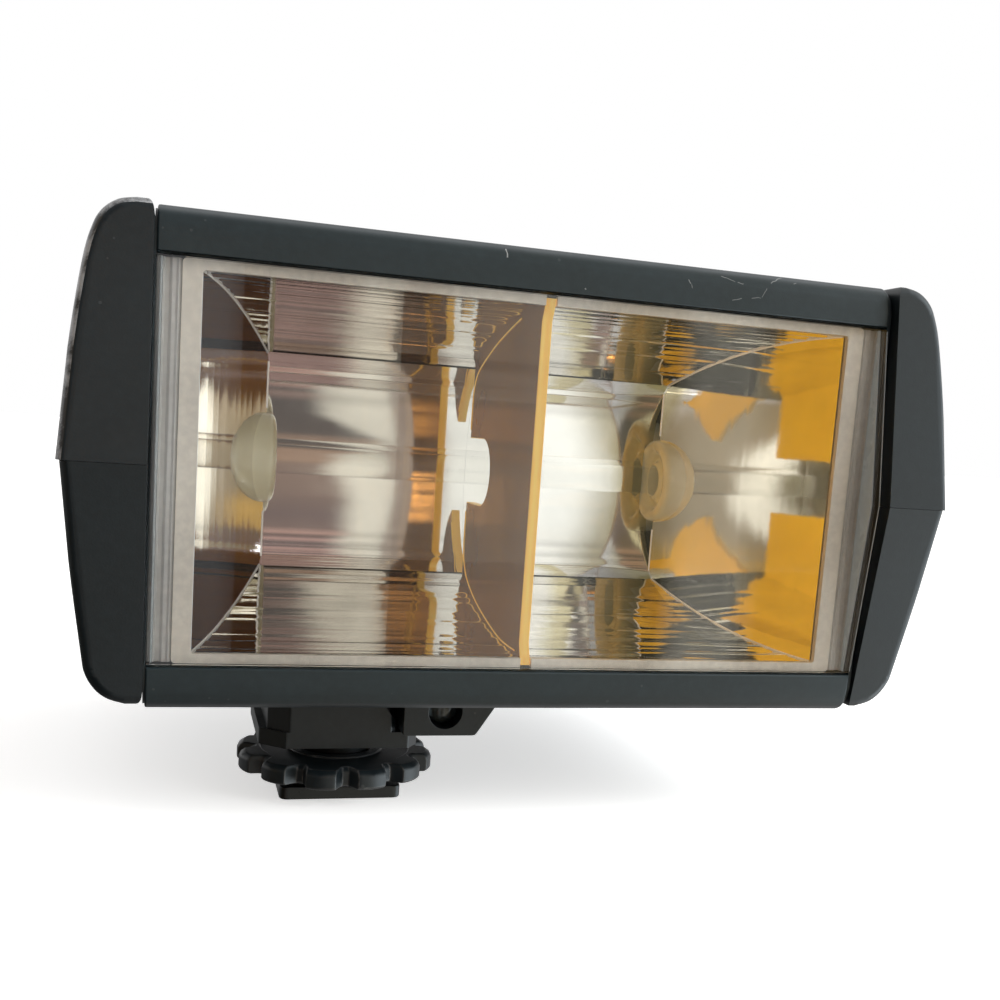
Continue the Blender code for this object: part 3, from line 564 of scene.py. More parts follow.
def amber_look():
    """Dyed plastic sheet with glossy faces."""
    made, t, shader, where = new_look("amber_plate", IOR=1.5, Coat_Weight=0.5, Coat_Roughness=0.05, Transmission_Weight=0.06)
    cloud = t.between(t.noise(where, 60.0, 3.0), 0, 1, 0.3, 0.7)
    tint = t.mix(cloud, (0.39, 0.16, 0.007), (0.54, 0.24, 0.010))
    specks = t.between(t.noise(where, 1500.0, 2.0), 0.0, 1.0, 0.70, 0.74)
    tint = t.mix(t.math("MULTIPLY", t.math("MAXIMUM", specks, 0.0), 0.5), tint, (0.30, 0.16, 0.03))
    set_input(t, shader, "Base Color", tint)
    set_input(t, shader, "Roughness", t.between(t.noise(where, 150.0, 3.0), 0.10, 0.22, 0.3, 0.7))
    set_input(t, shader, "Normal", t.bump(t.noise(t.stretch(where, (40.0, 60.0, 900.0)), 1.0, 3.0), 0.12, 0.00003))
    return made


def amber_painted_lit_look():
    """The sheet's right face as a lit copy of the amber: a brighter base and a painted glow stand in for the light in
    the right cell.
    """
    made, t, shader, where = new_look("amber_face_painted_lit", IOR=1.5, Coat_Weight=0.5, Coat_Roughness=0.05, Emission_Strength=0.52)
    cloud = t.between(t.noise(where, 60.0, 3.0), 0, 1, 0.3, 0.7)
    set_input(t, shader, "Base Color", t.mix(cloud, (0.84, 0.42, 0.018), (0.95, 0.52, 0.024)))
    set_input(t, shader, "Emission Color", t.mix(cloud, (0.92, 0.45, 0.020), (1.0, 0.52, 0.026)))
    set_input(t, shader, "Roughness", t.between(t.noise(where, 150.0, 3.0), 0.10, 0.22, 0.3, 0.7))
    set_input(t, shader, "Normal", t.bump(t.noise(t.stretch(where, (40.0, 60.0, 900.0)), 1.0, 3.0), 0.12, 0.00003))
    return made


def amber_painted_glow_look():
    """The sheet's cut edges, with a painted glow that stands in for the light the sheet gathers."""
    made, t, shader, where = new_look("amber_cut_edge_painted_glow", IOR=1.5, Roughness=0.3, Emission_Strength=0.28)
    cloud = t.between(t.noise(t.stretch(where, (900.0, 900.0, 60.0)), 1.0, 3.0), 0, 1, 0.3, 0.7)
    set_input(t, shader, "Base Color", t.mix(cloud, (0.80, 0.42, 0.03), (0.92, 0.60, 0.10)))
    set_input(t, shader, "Emission Color", t.mix(cloud, (1.0, 0.50, 0.05), (1.0, 0.66, 0.16)))
    return made


def silicone_look():
    # a faint warm emission: a painted glow that brightens the grommets
    made, t, shader, where = new_look("silicone", IOR=1.41, Coat_Weight=0.6, Coat_Roughness=0.06, Emission_Color=(1.0, 0.92, 0.62, 1.0), Emission_Strength=0.05)
    tint = t.mix(t.between(t.noise(where, 250.0, 3.0), 0, 1, 0.3, 0.7), (0.80, 0.75, 0.50), (0.90, 0.86, 0.64))
    set_input(t, shader, "Base Color", tint)
    set_input(t, shader, "Roughness", t.between(t.noise(where, 300.0, 3.0), 0.16, 0.3, 0.3, 0.7))
    set_input(t, shader, "Normal", t.bump(t.noise(where, 500.0, 3.0), 0.2, 0.00005))
    return made


def lamp_look():
    made, t, shader, where = new_look("lamp_orange", IOR=1.49, Transmission_Weight=0.5)
    tint = t.mix(t.between(t.noise(where, 400.0, 3.0), 0, 1, 0.3, 0.7), (0.80, 0.16, 0.01), (0.95, 0.28, 0.03))
    set_input(t, shader, "Base Color", tint)
    set_input(t, shader, "Roughness", t.between(t.noise(where, 300.0, 3.0), 0.08, 0.16, 0.3, 0.7))
    return made


AMBER, AMBER_PAINTED_LIT, AMBER_PAINTED_GLOW, SILICONE, LAMP = amber_look(), amber_painted_lit_look(), amber_painted_glow_look(), silicone_look(), lamp_look()

# ================================================================ body shells
FINE_UP, FINE_DOWN = through(SIDE_UP, 5), through(SIDE_DOWN, 5)
ROUND = 1.5


def body_shell(name, node, side, sign, slope):
    far = 44.0 * sign
    bay = box(-BAY_LEFT, HEAD_WIDE + BAY_RIGHT, -21.0, BAY_BACK, min(-2 * sign, far), max(-2 * sign, far))
    inner = inset_side(side, WALL)
    arm = [(2.1, -1.0 * sign), (inner[0][0], -1.0 * sign), *[p for p in inner if p[0] > 2.3], (2.1, inner[-1][1])]
    cuts = [bay]
    cuts += [prism("Y", [(-e, z) for e, z in arm], 1.8, 61.8), mirror_x(prism("Y", [(-e, z) for e, z in arm], 1.8, 61.8))]
    cuts += [prism("Y", across(side, WALL, parting=-1.0 * sign), BAY_BACK + WALL, BODY_BACK + 1)]
    cuts += [rod("X", (PIVOT_Y, 0.0), 5.3, -2.6, 0.2), mirror_x(rod("X", (PIVOT_Y, 0.0), 5.3, -2.6, 0.2))]
    if sign < 0:
        cuts += [rod("Z", (x, 70.0), 1.8, -33.0, -28.0, 24) for x in (24.0, 44.0)]

    # the arms' rounded upper and lower inner corners
    tip = side[-1][1]
    tall = 2.0 if sign > 0 else 1.6
    corner = [(0.3, tip + 0.6 * sign), (-BAY_LEFT - 1.0, tip + 0.6 * sign)]
    corner += [(-BAY_LEFT - 1.0 + math.sin(math.pi / 2 * k / 6), tip - tall * sign + tall * sign * math.cos(math.pi / 2 * k / 6)) for k in range(7)]
    corner += [(0.3, tip - tall * sign)]
    shift = BAY_RIGHT - BAY_LEFT
    cuts += [prism("Y", corner, -21.0, BAY_BACK), prism("Y", [(HEAD_WIDE - x + shift, z) for x, z in corner], -21.0, BAY_BACK)]

    # faces of the left arm's rounded front edge, on the left side only: worn paint and a painted highlight
    def worn_and_highlit_faces(p, normal):
        return p.x < -1.0 and p.z > -1.2 and p.y < 2.0 and -0.86 < normal.y < -0.34

    # the outside, whose front edge is rounded off to a slanted front
    rings = []
    for k in range(7):
        a = math.pi / 2 * k / 6
        inset, back = ROUND * (1 - math.sin(a)), ROUND * (1 - math.cos(a))
        rings.append([(x, -4.4 + slope * abs(z) + back, z) for x, z in across(side, inset)])
    rings.append([(x, BODY_BACK, z) for x, z in across(side, 0)])
    return put(
        name, stack(rings), BLACK, "root", node,
        cuts=cuts, bevel=0.2, segments=3, angle=28, edge_wear_and_painted_glow=BLACK_EDGE, wear_and_painted_light=(RUBBED_PAINTED_HIGHLIGHT, worn_and_highlit_faces),
    )


body_shell("upper_body_cover", "body_upper_shell", FINE_UP, 1, 0.115)
body_shell("lower_body_cover", "body_lower_shell", FINE_DOWN, -1, 0.155)


# ================================================================ head shells
def head_shell(name, node, flip):
    outer = through([(0.0, 26.15), (0.12, 28.4), (0.45, 30.0), (1.15, 31.3), (2.6, HEAD_HALF)], 4, keep=0) + arc(PIVOT_Y, 0.0, HEAD_HALF, 90, 0.27, 40)
    inner = arc(PIVOT_Y, 0.0, HEAD_HALF - WALL, 0.28, 90, 24) + [(6.2, HEAD_HALF - WALL), (6.2, 26.15)]

    def shaped(shape):
        return mirror_z(shape) if flip else shape

    end = [(9.6, 0.15), (9.6, 31.2)] + arc(PIVOT_Y, 0.0, HEAD_HALF - 0.9, 90, 0.28, 40)
    cuts = [rod("X", (PIVOT_Y, 0.0), 3.3, -1, 3), mirror_x(rod("X", (PIVOT_Y, 0.0), 3.3, -1, 3))]
    if flip:
        for x in (10.0, 94.0):
            cuts += [rod("Z", (x, 20.0), 1.5, -33, -29, 24), rod("Z", (x, 20.0), 2.5, -34, -31.0, 32)]

    def outline_end(a, b):
        def on(p):
            z = abs(p.z)
            far = math.hypot(p.y - PIVOT_Y, z) > HEAD_HALF - 0.15 if p.y > 2.5 else z > 26.1
            return (abs(p.x - 0.25) < 0.004 or abs(p.x - HEAD_WIDE + 0.25) < 0.004) and (far or abs(z - HEAD_HALF) < 0.01) and not (z < 26.2 and p.y > 0.5 and p.y < 10)

        return on(a) and on(b)

    return put(
        name, shaped(prism("X", outer + inner, 0.25, HEAD_WIDE - 0.25)), HEAD_BLACK, "head", node,
        joins=[shaped(prism("X", end, 0.251, 1.95)), shaped(mirror_x(prism("X", end, 0.251, 1.95)))],
        cuts=cuts, soft_edges=[(outline_end, 0.8, 4)], bevel=0.3, segments=3, angle=28, edge_wear_and_painted_glow=BLACK_EDGE,
    )


head_shell("upper_head_cover", "head_upper_shell", False)
head_shell("lower_head_cover", "head_lower_shell", True)
pad = [(0.35, 26.6), (0.45, 28.2), (0.85, 29.8), (1.7, 31.0), (2.9, 31.6)] + arc(PIVOT_Y, 0.0, HEAD_HALF - 0.5, 90, -90, 80) + [(2.9, -31.6), (1.7, -31.0), (0.85, -29.8), (0.45, -28.2), (0.35, -26.6)]
put("left_head_pad", prism("X", pad, -0.02, 0.27), HEAD_BLACK, "head", shade=40)
put("right_head_pad", prism("X", pad, 103.73, 104.3), HEAD_BLACK, "head", shade=40)

# ================================================================ window
def v_front(y_add=0.0, half=25.8):
    return [(y_add, -half), (y_add - RIDGE * half / WINDOW_HALF, 0.0), (y_add, half)]


def end_wall():
    return prism("X", v_front(0.001) + [(9.2, 25.79), (9.2, -25.79)], 0.301, 0.72)


put(
    "clear_front_window", prism("X", v_front(0.0) + v_front(1.5)[::-1], 0.3, HEAD_WIDE - 0.3), CLEAR, "head", "window",
    joins=[end_wall(), mirror_x(end_wall())], bevel=0.22, segments=3, angle=25,
)


# ================================================================ reflectors
def wall_z(y):
    return RIM_HALF - (RIM_HALF - CORNER_Z) * ((y - RIM_Y) / (CORNER_Y - RIM_Y)) ** 2.2


def back_arc(steps):
    sagitta = BACK_Y - CORNER_Y
    r = (CORNER_Z**2 + sagitta**2) / (2 * sagitta)
    made = []
    for i in range(1, steps):
        z = CORNER_Z - 2 * CORNER_Z * i / steps
        made.append((BACK_Y - r + math.sqrt(r * r - z * z), z))
    return made


def fluted(front, seed):
    """The upper wall from its front edge to the corner, as shallow flutes of uneven width, depth and tilt."""
    at, line, i = front, [], 0
    stops = [front]
    while at < CORNER_Y - 1.6:
        at += 2.4 + 0.95 * math.sin(2.3 * i + seed) + 0.4 * math.sin(5.1 * i + 2 * seed)
        stops.append(min(at, CORNER_Y))
        i += 1
    stops[-1] = CORNER_Y
    lift = [0.0] + [0.045 * math.sin(3.7 * k + seed * 1.7) for k in range(1, len(stops) - 1)] + [0.0]
    for k in range(len(stops) - 1):
        y0, y1 = stops[k], stops[k + 1]
        depth = 0.046 + 0.032 * math.sin(4.4 * k + seed * 2.9)
        for s in range(6):
            f = s / 6
            y = y0 + (y1 - y0) * f
            line.append((y, wall_z(y) + lift[k] + (lift[k + 1] - lift[k]) * f + depth * 4 * f * (1 - f)))
    line.append((CORNER_Y, CORNER_Z))
    return line


def cell_line(front, seed):
    """A reflector's inner surface: flutes along the walls, one more round each corner, and a smooth back."""
    def ridged(y, z):
        f = (CORNER_Z - abs(z)) / 2.9
        return (y + 0.09 * 4 * f * (1 - f), z) if 0 < f < 1 else (y, z)

    top = fluted(front, seed)
    low = fluted(front, seed + 1.3)
    return top + [ridged(y, z) for y, z in back_arc(72)] + [(y, -z) for y, z in reversed(low)]


def plain_line(front, steps=24):
    top = [(front + (CORNER_Y - front) * i / steps, wall_z(front + (CORNER_Y - front) * i / steps)) for i in range(steps + 1)]
    return top + back_arc(40) + [(y, -z) for y, z in reversed(top)]


def outer_skin(front, grow):
    return offset_line(plain_line(front), grow)


def slant_x(y, add=0.0):
    depth = y - RIM_Y
    return RIM_IN + depth * LEAN + depth * depth * CURL + add


def plate_outline(grow, front, back, steps=24):
    top = [(y, z) for y, z in offset_line(plain_line(front, steps), grow) if z > 0 and y < back]
    edge = top[-1][1] - 0.6
    return top + [(back, edge), (back, -edge)] + [(y, -z) for y, z in reversed(top)]


def curved(outline, inner, outer):
    """An outline in Y and Z, whose second half mirrors its first in Z, between two curved surfaces giving X from Y."""
    made = bmesh.new()
    a = [made.verts.new((inner(y), y, z)) for y, z in outline]
    b = [made.verts.new((outer(y), y, z)) for y, z in outline]
    n = len(outline)
    for i in range(n // 2 - 1):
        made.faces.new((a[i], a[i + 1], a[n - 2 - i], a[n - 1 - i]))
        made.faces.new((b[n - 1 - i], b[n - 2 - i], b[i + 1], b[i]))
    for i in range(n):
        j = (i + 1) % n
        made.faces.new((a[i], b[i], b[j], a[j]))
    bmesh.ops.recalc_face_normals(made, faces=made.faces)
    return made


def bead(points, r, sides=8):
    """A closed thin tube along an open line of points."""
    made = bmesh.new()
    rings = []
    for i, p in enumerate(points):
        a, b = Vector(points[max(0, i - 1)]), Vector(points[min(len(points) - 1, i + 1)])
        along = (b - a).normalized()
        side = along.cross(Vector((1, 0, 0)))
        side = side.normalized() if side.length > 1e-6 else Vector((0, 0, 1))
        other = along.cross(side)
        rings.append([made.verts.new(Vector(p) + side * r * math.cos(2 * math.pi * k / sides) + other * r * math.sin(2 * math.pi * k / sides)) for k in range(sides)])
    for a, b in zip(rings, rings[1:]):
        for k in range(sides):
            made.faces.new((a[k], b[k], b[(k + 1) % sides], a[(k + 1) % sides]))
    made.faces.new(rings[0])
    made.faces.new(rings[-1][::-1])
    bmesh.ops.recalc_face_normals(made, faces=made.faces)
    return made


for side_name, flip in (("left", False), ("right", True)):

    def sided(shape, flip=flip):
        return mirror_x(shape) if flip else shape

    seed = 0.6 if flip else 2.1
    rim_shape = [(3.4, -25.8), (51.2, -25.8), (51.2, -RIM_HALF), (RIM_IN, -RIM_HALF), (RIM_IN, RIM_HALF), (51.2, RIM_HALF), (51.2, 25.8), (3.4, 25.8)]
    put(f"{side_name}_reflector_rim", sided(prism("Y", rounded(rim_shape, [0.6, 0.1, 0, 0.5, 0.5, 0, 0.1, 0.6], 3), 1.9, RIM_Y)), RIM, "head", f"reflector_rim_{side_name}",
        bevel=0.16, segments=3)
    seat = [(1.03, 2.3), (1.1, 1.95), (1.3, 2.5), (1.9, 2.5), (2.2, 2.05), (2.7, 2.15), (3.0, 1.95), (3.39, 2.3), (3.39, 2.95), (1.03, 2.95)]
    put(f"{side_name}_window_seat", sided(prism("Z", seat, -25.7, 25.7)), SEAT, "head", bevel=0.08, segments=2)
    put(f"{side_name}_window_backing", sided(box(0.33, 1.3, 3.0, 3.45, -25.7, 25.7)), SEAT, "head", bevel=0.08, segments=2)
    put(f"{side_name}_window_liner", sided(prism("X", [(2.9, -25.7), (2.9, 25.7), (1.65, 25.7), (-1.2, 0), (1.65, -25.7)], 0.77, 1.02)), LINER, "head", bevel=0.06, segments=2)
    line = cell_line(RIM_Y + 0.3, seed)
    skin = outer_skin(RIM_Y + 0.3, SHEET)
    hole = rod("X", (TUBE_Y, TUBE_Z), 7.22, 15.0, 18.72, 72)
    put(f"{side_name}_reflector_trough", sided(prism("X", line + skin[::-1], 17.35, 51.99)), MIRROR, "head", f"reflector_trough_{side_name}", cuts=[sided(hole), sided(box(51.23, 52.5, -1.0, 39.6, -30.0, 30.0))], shade=14)
    end_line = cell_line(RIM_Y + 0.3, seed)
    outline = plate_outline(0.4, RIM_Y + 0.301, PLATE_BACK)
    hole = rod("X", (TUBE_Y, TUBE_Z), 7.22, 14.2, 18.9, 72)
    put(
        f"{side_name}_reflector_end", sided(prism("X", end_line + skin[::-1], 4.4, 17.34)), PLATE, "head", f"reflector_end_{side_name}",
        joins=[sided(curved(outline, lambda y: slant_x(y), lambda y: slant_x(y, -SHEET)))], cuts=[sided(hole)], shade=14,
    )
    # a thin bead along each end plate's edge, whose faint emission is a painted highlight
    n = 30
    curve = [(slant_x(y) + 0.05, y, wall_z(y) - 0.05) for y in (RIM_Y + 0.5 + (PLATE_BACK - RIM_Y - 0.5) * k / n for k in range(n + 1))]
    edge_x = slant_x(PLATE_BACK) + 0.05
    for half_name, up in (("upper", 1), ("lower", -1)):
        points = [(x, y, z * up) for x, y, z in curve] + [(edge_x, PLATE_BACK, z * up) for z in (15.0, 12.0, 9.5, 8.4)]
        put(f"{side_name}_plate_{half_name}_bead", sided(bead(points, 0.12)), CUT_EDGE_PAINTED_HIGHLIGHT, "head", shade=60)
    put(
        f"{side_name}_lamp_grommet",
        sided(lathe("X", (TUBE_Y, TUBE_Z), eased([(TUBE_R + 0.35, 13.6), (7.15, 13.6), (7.3, 15.5), (7.3, 17.8), (7.0, 18.4), (6.3, 18.75), (5.6, 18.55), (5.1, 17.9), (4.7, 17.0), (4.0, 16.75), (3.4, 17.1), (3.1, 17.8), (2.75, 18.1), (TUBE_R + 0.35, 18.0)], 0.25, 3), 72)),
        SILICONE, "head", f"lamp_grommet_{side_name}", shade=50,
    )
    put(
        f"{side_name}_lamp_electrode",
        sided(lathe("X", (TUBE_Y, TUBE_Z), eased([(0, 6.0), (2.2, 6.0), (2.2, 8.2), (1.25, 8.2), (1.25, 14.0), (0.6, 15.0), (0, 15.0)], 0.2), 40)),
        STEEL, "head", f"lamp_electrode_{side_name}",
    )


def divider_outline():
    inner = plate_outline(0.4, 4.2, 39.5)[1:-1]
    return [(2.1, 25.5), (3.6, 25.5), (3.6, wall_z(3.6) + 0.4)] + inner + [(3.6, -wall_z(3.6) - 0.4), (3.6, -25.5), (2.1, -25.5), (2.6, -24.2), (3.4, -22.5), (3.4, 22.5), (2.6, 24.2)]


# the divider: its right face takes a lit copy of the amber with a painted glow, and its cut edges a painted glow too
put(
    "amber_cell_divider", prism("X", divider_outline(), 51.25, 52.75), AMBER, "head", "cell_divider",
    cuts=[rod("X", (31.2, TUBE_Z), 5.4, 50, 54), box(50, 54, 31.2, 45, TUBE_Z - 5.4, TUBE_Z + 5.4)], bevel=0.12, segments=2, edge_wear_and_painted_glow=AMBER_PAINTED_GLOW,
    wear_and_painted_light=(AMBER_PAINTED_LIT, lambda p, normal: normal.x > 0.5), sides=(AMBER_PAINTED_GLOW, lambda normal: abs(normal.x) < 0.5),
)
# the raised golden line that the divider carries on its left face, brightened by a painted glow
for half_name, up, ends in (("upper", 1, [(13.5, 23.6), (19.5, 22.3), (25.5, 20.8), (30.4, 19.2), (34.5, 17.7), (37.3, 16.2), (38.7, 14.2), (39.2, 12.0), (39.3, 9.0), (39.3, 7.2)]), ("lower", -1, [(5.3, 24.0), (12.5, 23.9), (19.2, 22.9), (26.7, 21.2), (31.7, 19.6), (36.0, 17.6), (38.2, 15.4), (39.1, 13.0), (39.3, 10.0), (39.3, 6.6)])):
    put(f"divider_{half_name}_line", bead([(51.2, y, z * up) for y, z in through(ends, 4, keep=0)], 0.11), AMBER_PAINTED_GLOW, "head", shade=60)
put("flash_lamp_tube", lathe("X", (TUBE_Y, TUBE_Z), eased([(0, 8.4), (TUBE_R, 8.4), (TUBE_R, 95.6), (0, 95.6)], 0.5), 64), GLASS, "head", "flash_tube", shade=50)

# ================================================================ foot
bracket = rounded([(17.8, 21.2), (20.9, 18.0), (36.4, 18.0), (37.2, 18.8), (37.2, 41.0), (17.8, 41.0)], [0.8, 0.8, 0.5, 0.5, 1.0, 1.0], 3)
put(
    "foot_block", prism("Z", rounded([(16.6, 21.2), (20.4, 18.0), (39.2, 18.0), (40.9, 20.4), (40.9, 41.0), (16.6, 41.0)], [0.8, 0.8, 0.8, 0.8, 1.0, 1.0], 3), BLOCK_LOW, -39.8), BLACK, "root", "foot_bracket",
    joins=[prism("Z", bracket, -40.4, -32.65), box(17.81, 51.0, 38.0, 78.0, -36.5, -32.65), box(17.82, 50.9, 59.9, 77.9, -35.0, -31.7)],
    cuts=[
        prism("Y", [(38.4, -39.8), (34.0, -34.0), (34.0, -31.0), (45.0, -31.0), (45.0, -39.8)], 10.0, 24.0),
        rod("Z", (FOOT_X, FOOT_Y), STEM_R + 0.3, -43.0, -36.3),
        *[rod("Z", (x, 70.0), 1.8, -40.0, -30.0, 24) for x in (24.0, 44.0)],
        *[rod("Z", (x, 70.0), 3.0, -40.0, -34.4, 32) for x in (24.0, 44.0)],
    ],
    bevel=0.3, segments=3, edge_wear_and_painted_glow=BLACK_EDGE,
)
put(
    "sensor_block", prism("Y", rounded([(37.6, -32.7), (37.6, -39.45), (48.9, -39.45), (51.8, -35.0), (51.8, -32.7)], [0, 0.4, 0.8, 0.5, 0], 3), 14.6, 37.6), BLACK, "root", "sensor_housing",
    cuts=[rod("Y", (44.0, -35.75), 2.6, 13.0, 20.6)], bevel=0.25, segments=3, edge_wear_and_painted_glow=BLACK_EDGE,
)
put("sensor_eye", lathe("Y", (44.0, -35.75), [(0, 16.0), (0.6, 16.03), (1.2, 16.15), (1.7, 16.4), (2.0, 16.65), (2.3, 17.1), (2.3, 17.9), (0, 17.9)], 40), LENS, "root", "sensor_lens")
put("foot_screw_stem", lathe("Z", (FOOT_X, FOOT_Y), eased([(2.3, FOOT_TOP + 0.3), (STEM_R, FOOT_TOP + 0.3), (STEM_R, -36.6), (2.3, -36.6)], 0.2), 56), DARK_METAL, "root", "foot_stem")
half = FOOT_SIDE / 2
put(
    "shoe_foot_plate",
    prism("Z", rounded([(FOOT_X - half, FOOT_Y - half), (FOOT_X + half, FOOT_Y - half), (FOOT_X + half, FOOT_Y + half), (FOOT_X - half, FOOT_Y + half)], 1.4, 6), FOOT_BOTTOM, FOOT_TOP),
    DARK_METAL, "root", "shoe_plate", cuts=[rod("Z", (FOOT_X, FOOT_Y), 1.6, -52, -47)], bevel=0.25, segments=3,
)
put("hot_shoe_pin", lathe("Z", (FOOT_X, FOOT_Y), eased([(0, FOOT_BOTTOM), (1.25, FOOT_BOTTOM), (1.25, -38.0), (0, -38.0)], 0.35), 32), BRASS, "root", "contact_pin")
put("clamp_washer", lathe("Z", (FOOT_X, FOOT_Y), eased([(STEM_R + 0.35, FOOT_TOP + 0.35), (9.2, FOOT_TOP + 0.35), (9.2, FOOT_TOP + 0.85), (STEM_R + 0.35, FOOT_TOP + 0.85)], 0.12), 64), DARK_METAL, "foot_clamp", "pressure_plate")


def lobed(radius, notch):
    made = []
    per = 14
    for k in range(WHEEL_LOBES * per):
        a = 2 * math.pi * (k / per + 0.5) / WHEEL_LOBES
        phase = (k % per) / per
        swing = abs(phase - 0.0) if phase < 0.5 else abs(phase - 1.0)
        # 0 at a lobe's middle, 0.5 at a notch's
        blend = min(1.0, max(0.0, (swing - 0.27) / 0.15))
        blend = blend * blend * (3 - 2 * blend)
        r = radius - notch * blend - 0.35 * (swing / 0.3) ** 2 * (1 - blend)
        made.append((FOOT_X + r * math.cos(a), FOOT_Y + r * math.sin(a)))
    return made


put(
    "locking_wheel", stack([[(x, y, z) for x, y in lobed(WHEEL_R - d, 2.2)] for d, z in ((0.35, WHEEL_LOW), (0.0, WHEEL_LOW + 0.35), (0.0, WHEEL_HIGH - 1.0), (0.25, WHEEL_HIGH - 0.45), (0.9, WHEEL_HIGH))]), BLACK, "wheel", "lock_wheel",
    cuts=[rod("Z", (FOOT_X, FOOT_Y), STEM_R + 0.4, -49, -42), lathe("Z", (FOOT_X, FOOT_Y), [(7.4, WHEEL_HIGH - 0.35), (11.8, WHEEL_HIGH - 0.35), (11.8, WHEEL_HIGH + 1), (7.4, WHEEL_HIGH + 1)], 64)],
    bevel=0.15, segments=2, angle=34, edge_wear_and_painted_glow=BLACK_EDGE,
)


# ================================================================ screws
def cross_cuts(axis, centre, face, r, depth, out):
    u, v = centre
    low, high = min(face - depth, face + out), max(face - depth, face + out)
    a = [(u - r, v - r * 0.22), (u + r, v - r * 0.22), (u + r, v + r * 0.22), (u - r, v + r * 0.22)]
    b = [(u - r * 0.22, v - r), (u + r * 0.22, v - r), (u + r * 0.22, v + r), (u - r * 0.22, v + r)]
    return [prism(axis, a, low, high), prism(axis, b, low, high)]


for i, (x, z) in enumerate(((-1.5, -25.0), (105.5, -25.0)), 1):
    put(
        f"case_screw_{i}_head", lathe("Y", (x, z), eased([(0, 87.0), (1.25, 87.0), (1.25, 94.2), (2.4, 94.2), (2.1, 95.1), (0, 95.4)], 0.3), 40), STEEL, "root", f"case_screw_{i}",
        cuts=cross_cuts("Y", (x, z), 95.4, 1.25, 0.7, 1.0),
    )
for i, x in enumerate((24.0, 44.0), 1):
    put(
        f"foot_screw_{i}_head", lathe("Z", (x, 70.0), eased([(0, -36.2), (2.6, -36.2), (2.6, -34.75), (1.4, -34.75), (1.4, -27.0), (0, -27.0)], 0.3), 40), STEEL, "root", f"foot_screw_{i}",
        cuts=cross_cuts("Z", (x, 70.0), -36.2, 1.4, -0.8, -1.0),
    )
for i, x in enumerate((10.0, 94.0), 1):
    put(
        f"head_screw_{i}_head", lathe("Z", (x, 20.0), eased([(0, -31.9), (2.1, -31.9), (2.1, -31.3), (1.2, -31.25), (1.2, -26.4), (0, -26.4)], 0.25), 40), STEEL, "head", f"head_screw_{i}",
        cuts=cross_cuts("Z", (x, 20.0), -31.9, 1.1, -0.35, -1.0),
    )

# ================================================================ back
whole, under = across(SIDE_UP, WALL + 0.35), across(SIDE_DOWN, WALL + 0.35)
panel_line = whole + under[::-1]
put(
    "rear_cover", prism("Y", panel_line, PANEL_Y0, PANEL_Y1), PANEL, "root", "rear_panel",
    joins=[
        prism("Z", [(108.95, 93.2), (110.75, 93.2), (110.75, 95.6), (110.4, 96.5), (109.4, 96.9), (108.4, 96.5), (108.05, 95.6), (108.35, 94.6)], low, high)
        for low, high in ((8.0, 12.0), (-12.0, -8.0))
    ],
    cuts=[
        box(DOOR_X0 - 0.4, DOOR_X1 + 0.4, 90, 93.95, -DOOR_HALF - 0.4, DOOR_HALF + 0.4),
        rod("Y", (DIAL_X, DIAL_Z), 2.1, 90, 96, 32),
        rod("Y", (COLUMN_X, 22.0), 2.9, 90, 96),
        rod("Y", (COLUMN_X, 12.5), 3.7, 90, 96),
        rod("Y", (COLUMN_X, 1.0), 2.4, 90, 96),
        box(COLUMN_X - 3.6, COLUMN_X + 3.6, 90, 96, -12.3, -9.7),
        rod("Y", (COLUMN_X, -22.5), 4.3, 90, 96),
        rod("Z", (HINGE_X, HINGE_Y), 0.9, -13, 13, 24),
        rod("Y", (-1.5, -25.0), 1.6, 90, 96, 24),
        rod("Y", (105.5, -25.0), 1.6, 90, 96, 24),
    ],
    bevel=0.22, segments=3, edge_wear_and_painted_glow=PANEL_EDGE,
)
put("dial_scale_ring", lathe("Y", (DIAL_X, DIAL_Z), eased([(2.1, 94.2), (21.4, 94.2), (21.4, 94.9), (2.1, 94.9)], 0.2), 128), DIAL_GREY, "root", "dial_scale_plate")
put("dial_centre_screw", lathe("Y", (DIAL_X, DIAL_Z), eased([(0, 88.0), (1.75, 88.0), (1.75, 96.4), (3.6, 96.4), (3.6, 97.4), (0, 97.4)], 0.3), 48), STEEL, "root", "dial_screw", cuts=[box(DIAL_X - 4, DIAL_X + 4, 97.0, 98.0, DIAL_Z - 0.35, DIAL_Z + 0.35)])
DIAL_TEETH = 72


def knurled(r, depth, teeth):
    return [(DIAL_X + (r - depth * (0.5 - 0.5 * math.cos(2 * math.pi * k / 6))) * math.cos(2 * math.pi * k / (teeth * 6)), DIAL_Z + (r - depth * (0.5 - 0.5 * math.cos(2 * math.pi * k / 6))) * math.sin(2 * math.pi * k / (teeth * 6))) for k in range(teeth * 6)]


put(
    "exposure_dial", prism("Y", knurled(DIAL_R, 0.45, DIAL_TEETH), 95.2, 97.1), GLOSSY, "dial", "calculator_dial",
    joins=[lathe("Y", (DIAL_X, DIAL_Z), [(0, 96.5), (16.6, 96.5), (16.6, 97.45), (16.45, 97.6), (0, 97.6)], 96)],
    cuts=[rod("Y", (DIAL_X, DIAL_Z), 2.15, 95, 98), lathe("Y", (DIAL_X, DIAL_Z), [(0, 96.1), (4.2, 96.1), (4.2, 99), (0, 99)], 64), lathe("Y", (DIAL_X, DIAL_Z), [(10.3, 97.35), (10.7, 97.35), (10.7, 98), (10.3, 98)], 96)],
    bevel=0.12, segments=2, angle=50, edge_wear_and_painted_glow=GLOSSY_EDGE,
)
put("ready_light", lathe("Y", (COLUMN_X, 22.0), eased([(0, 88.6), (3.6, 88.6), (3.6, 91.5), (2.55, 91.5), (2.55, 94.2), (1.9, 94.8), (0, 95.1)], 0.3), 48), LAMP, "root", "ready_lamp", shade=50)
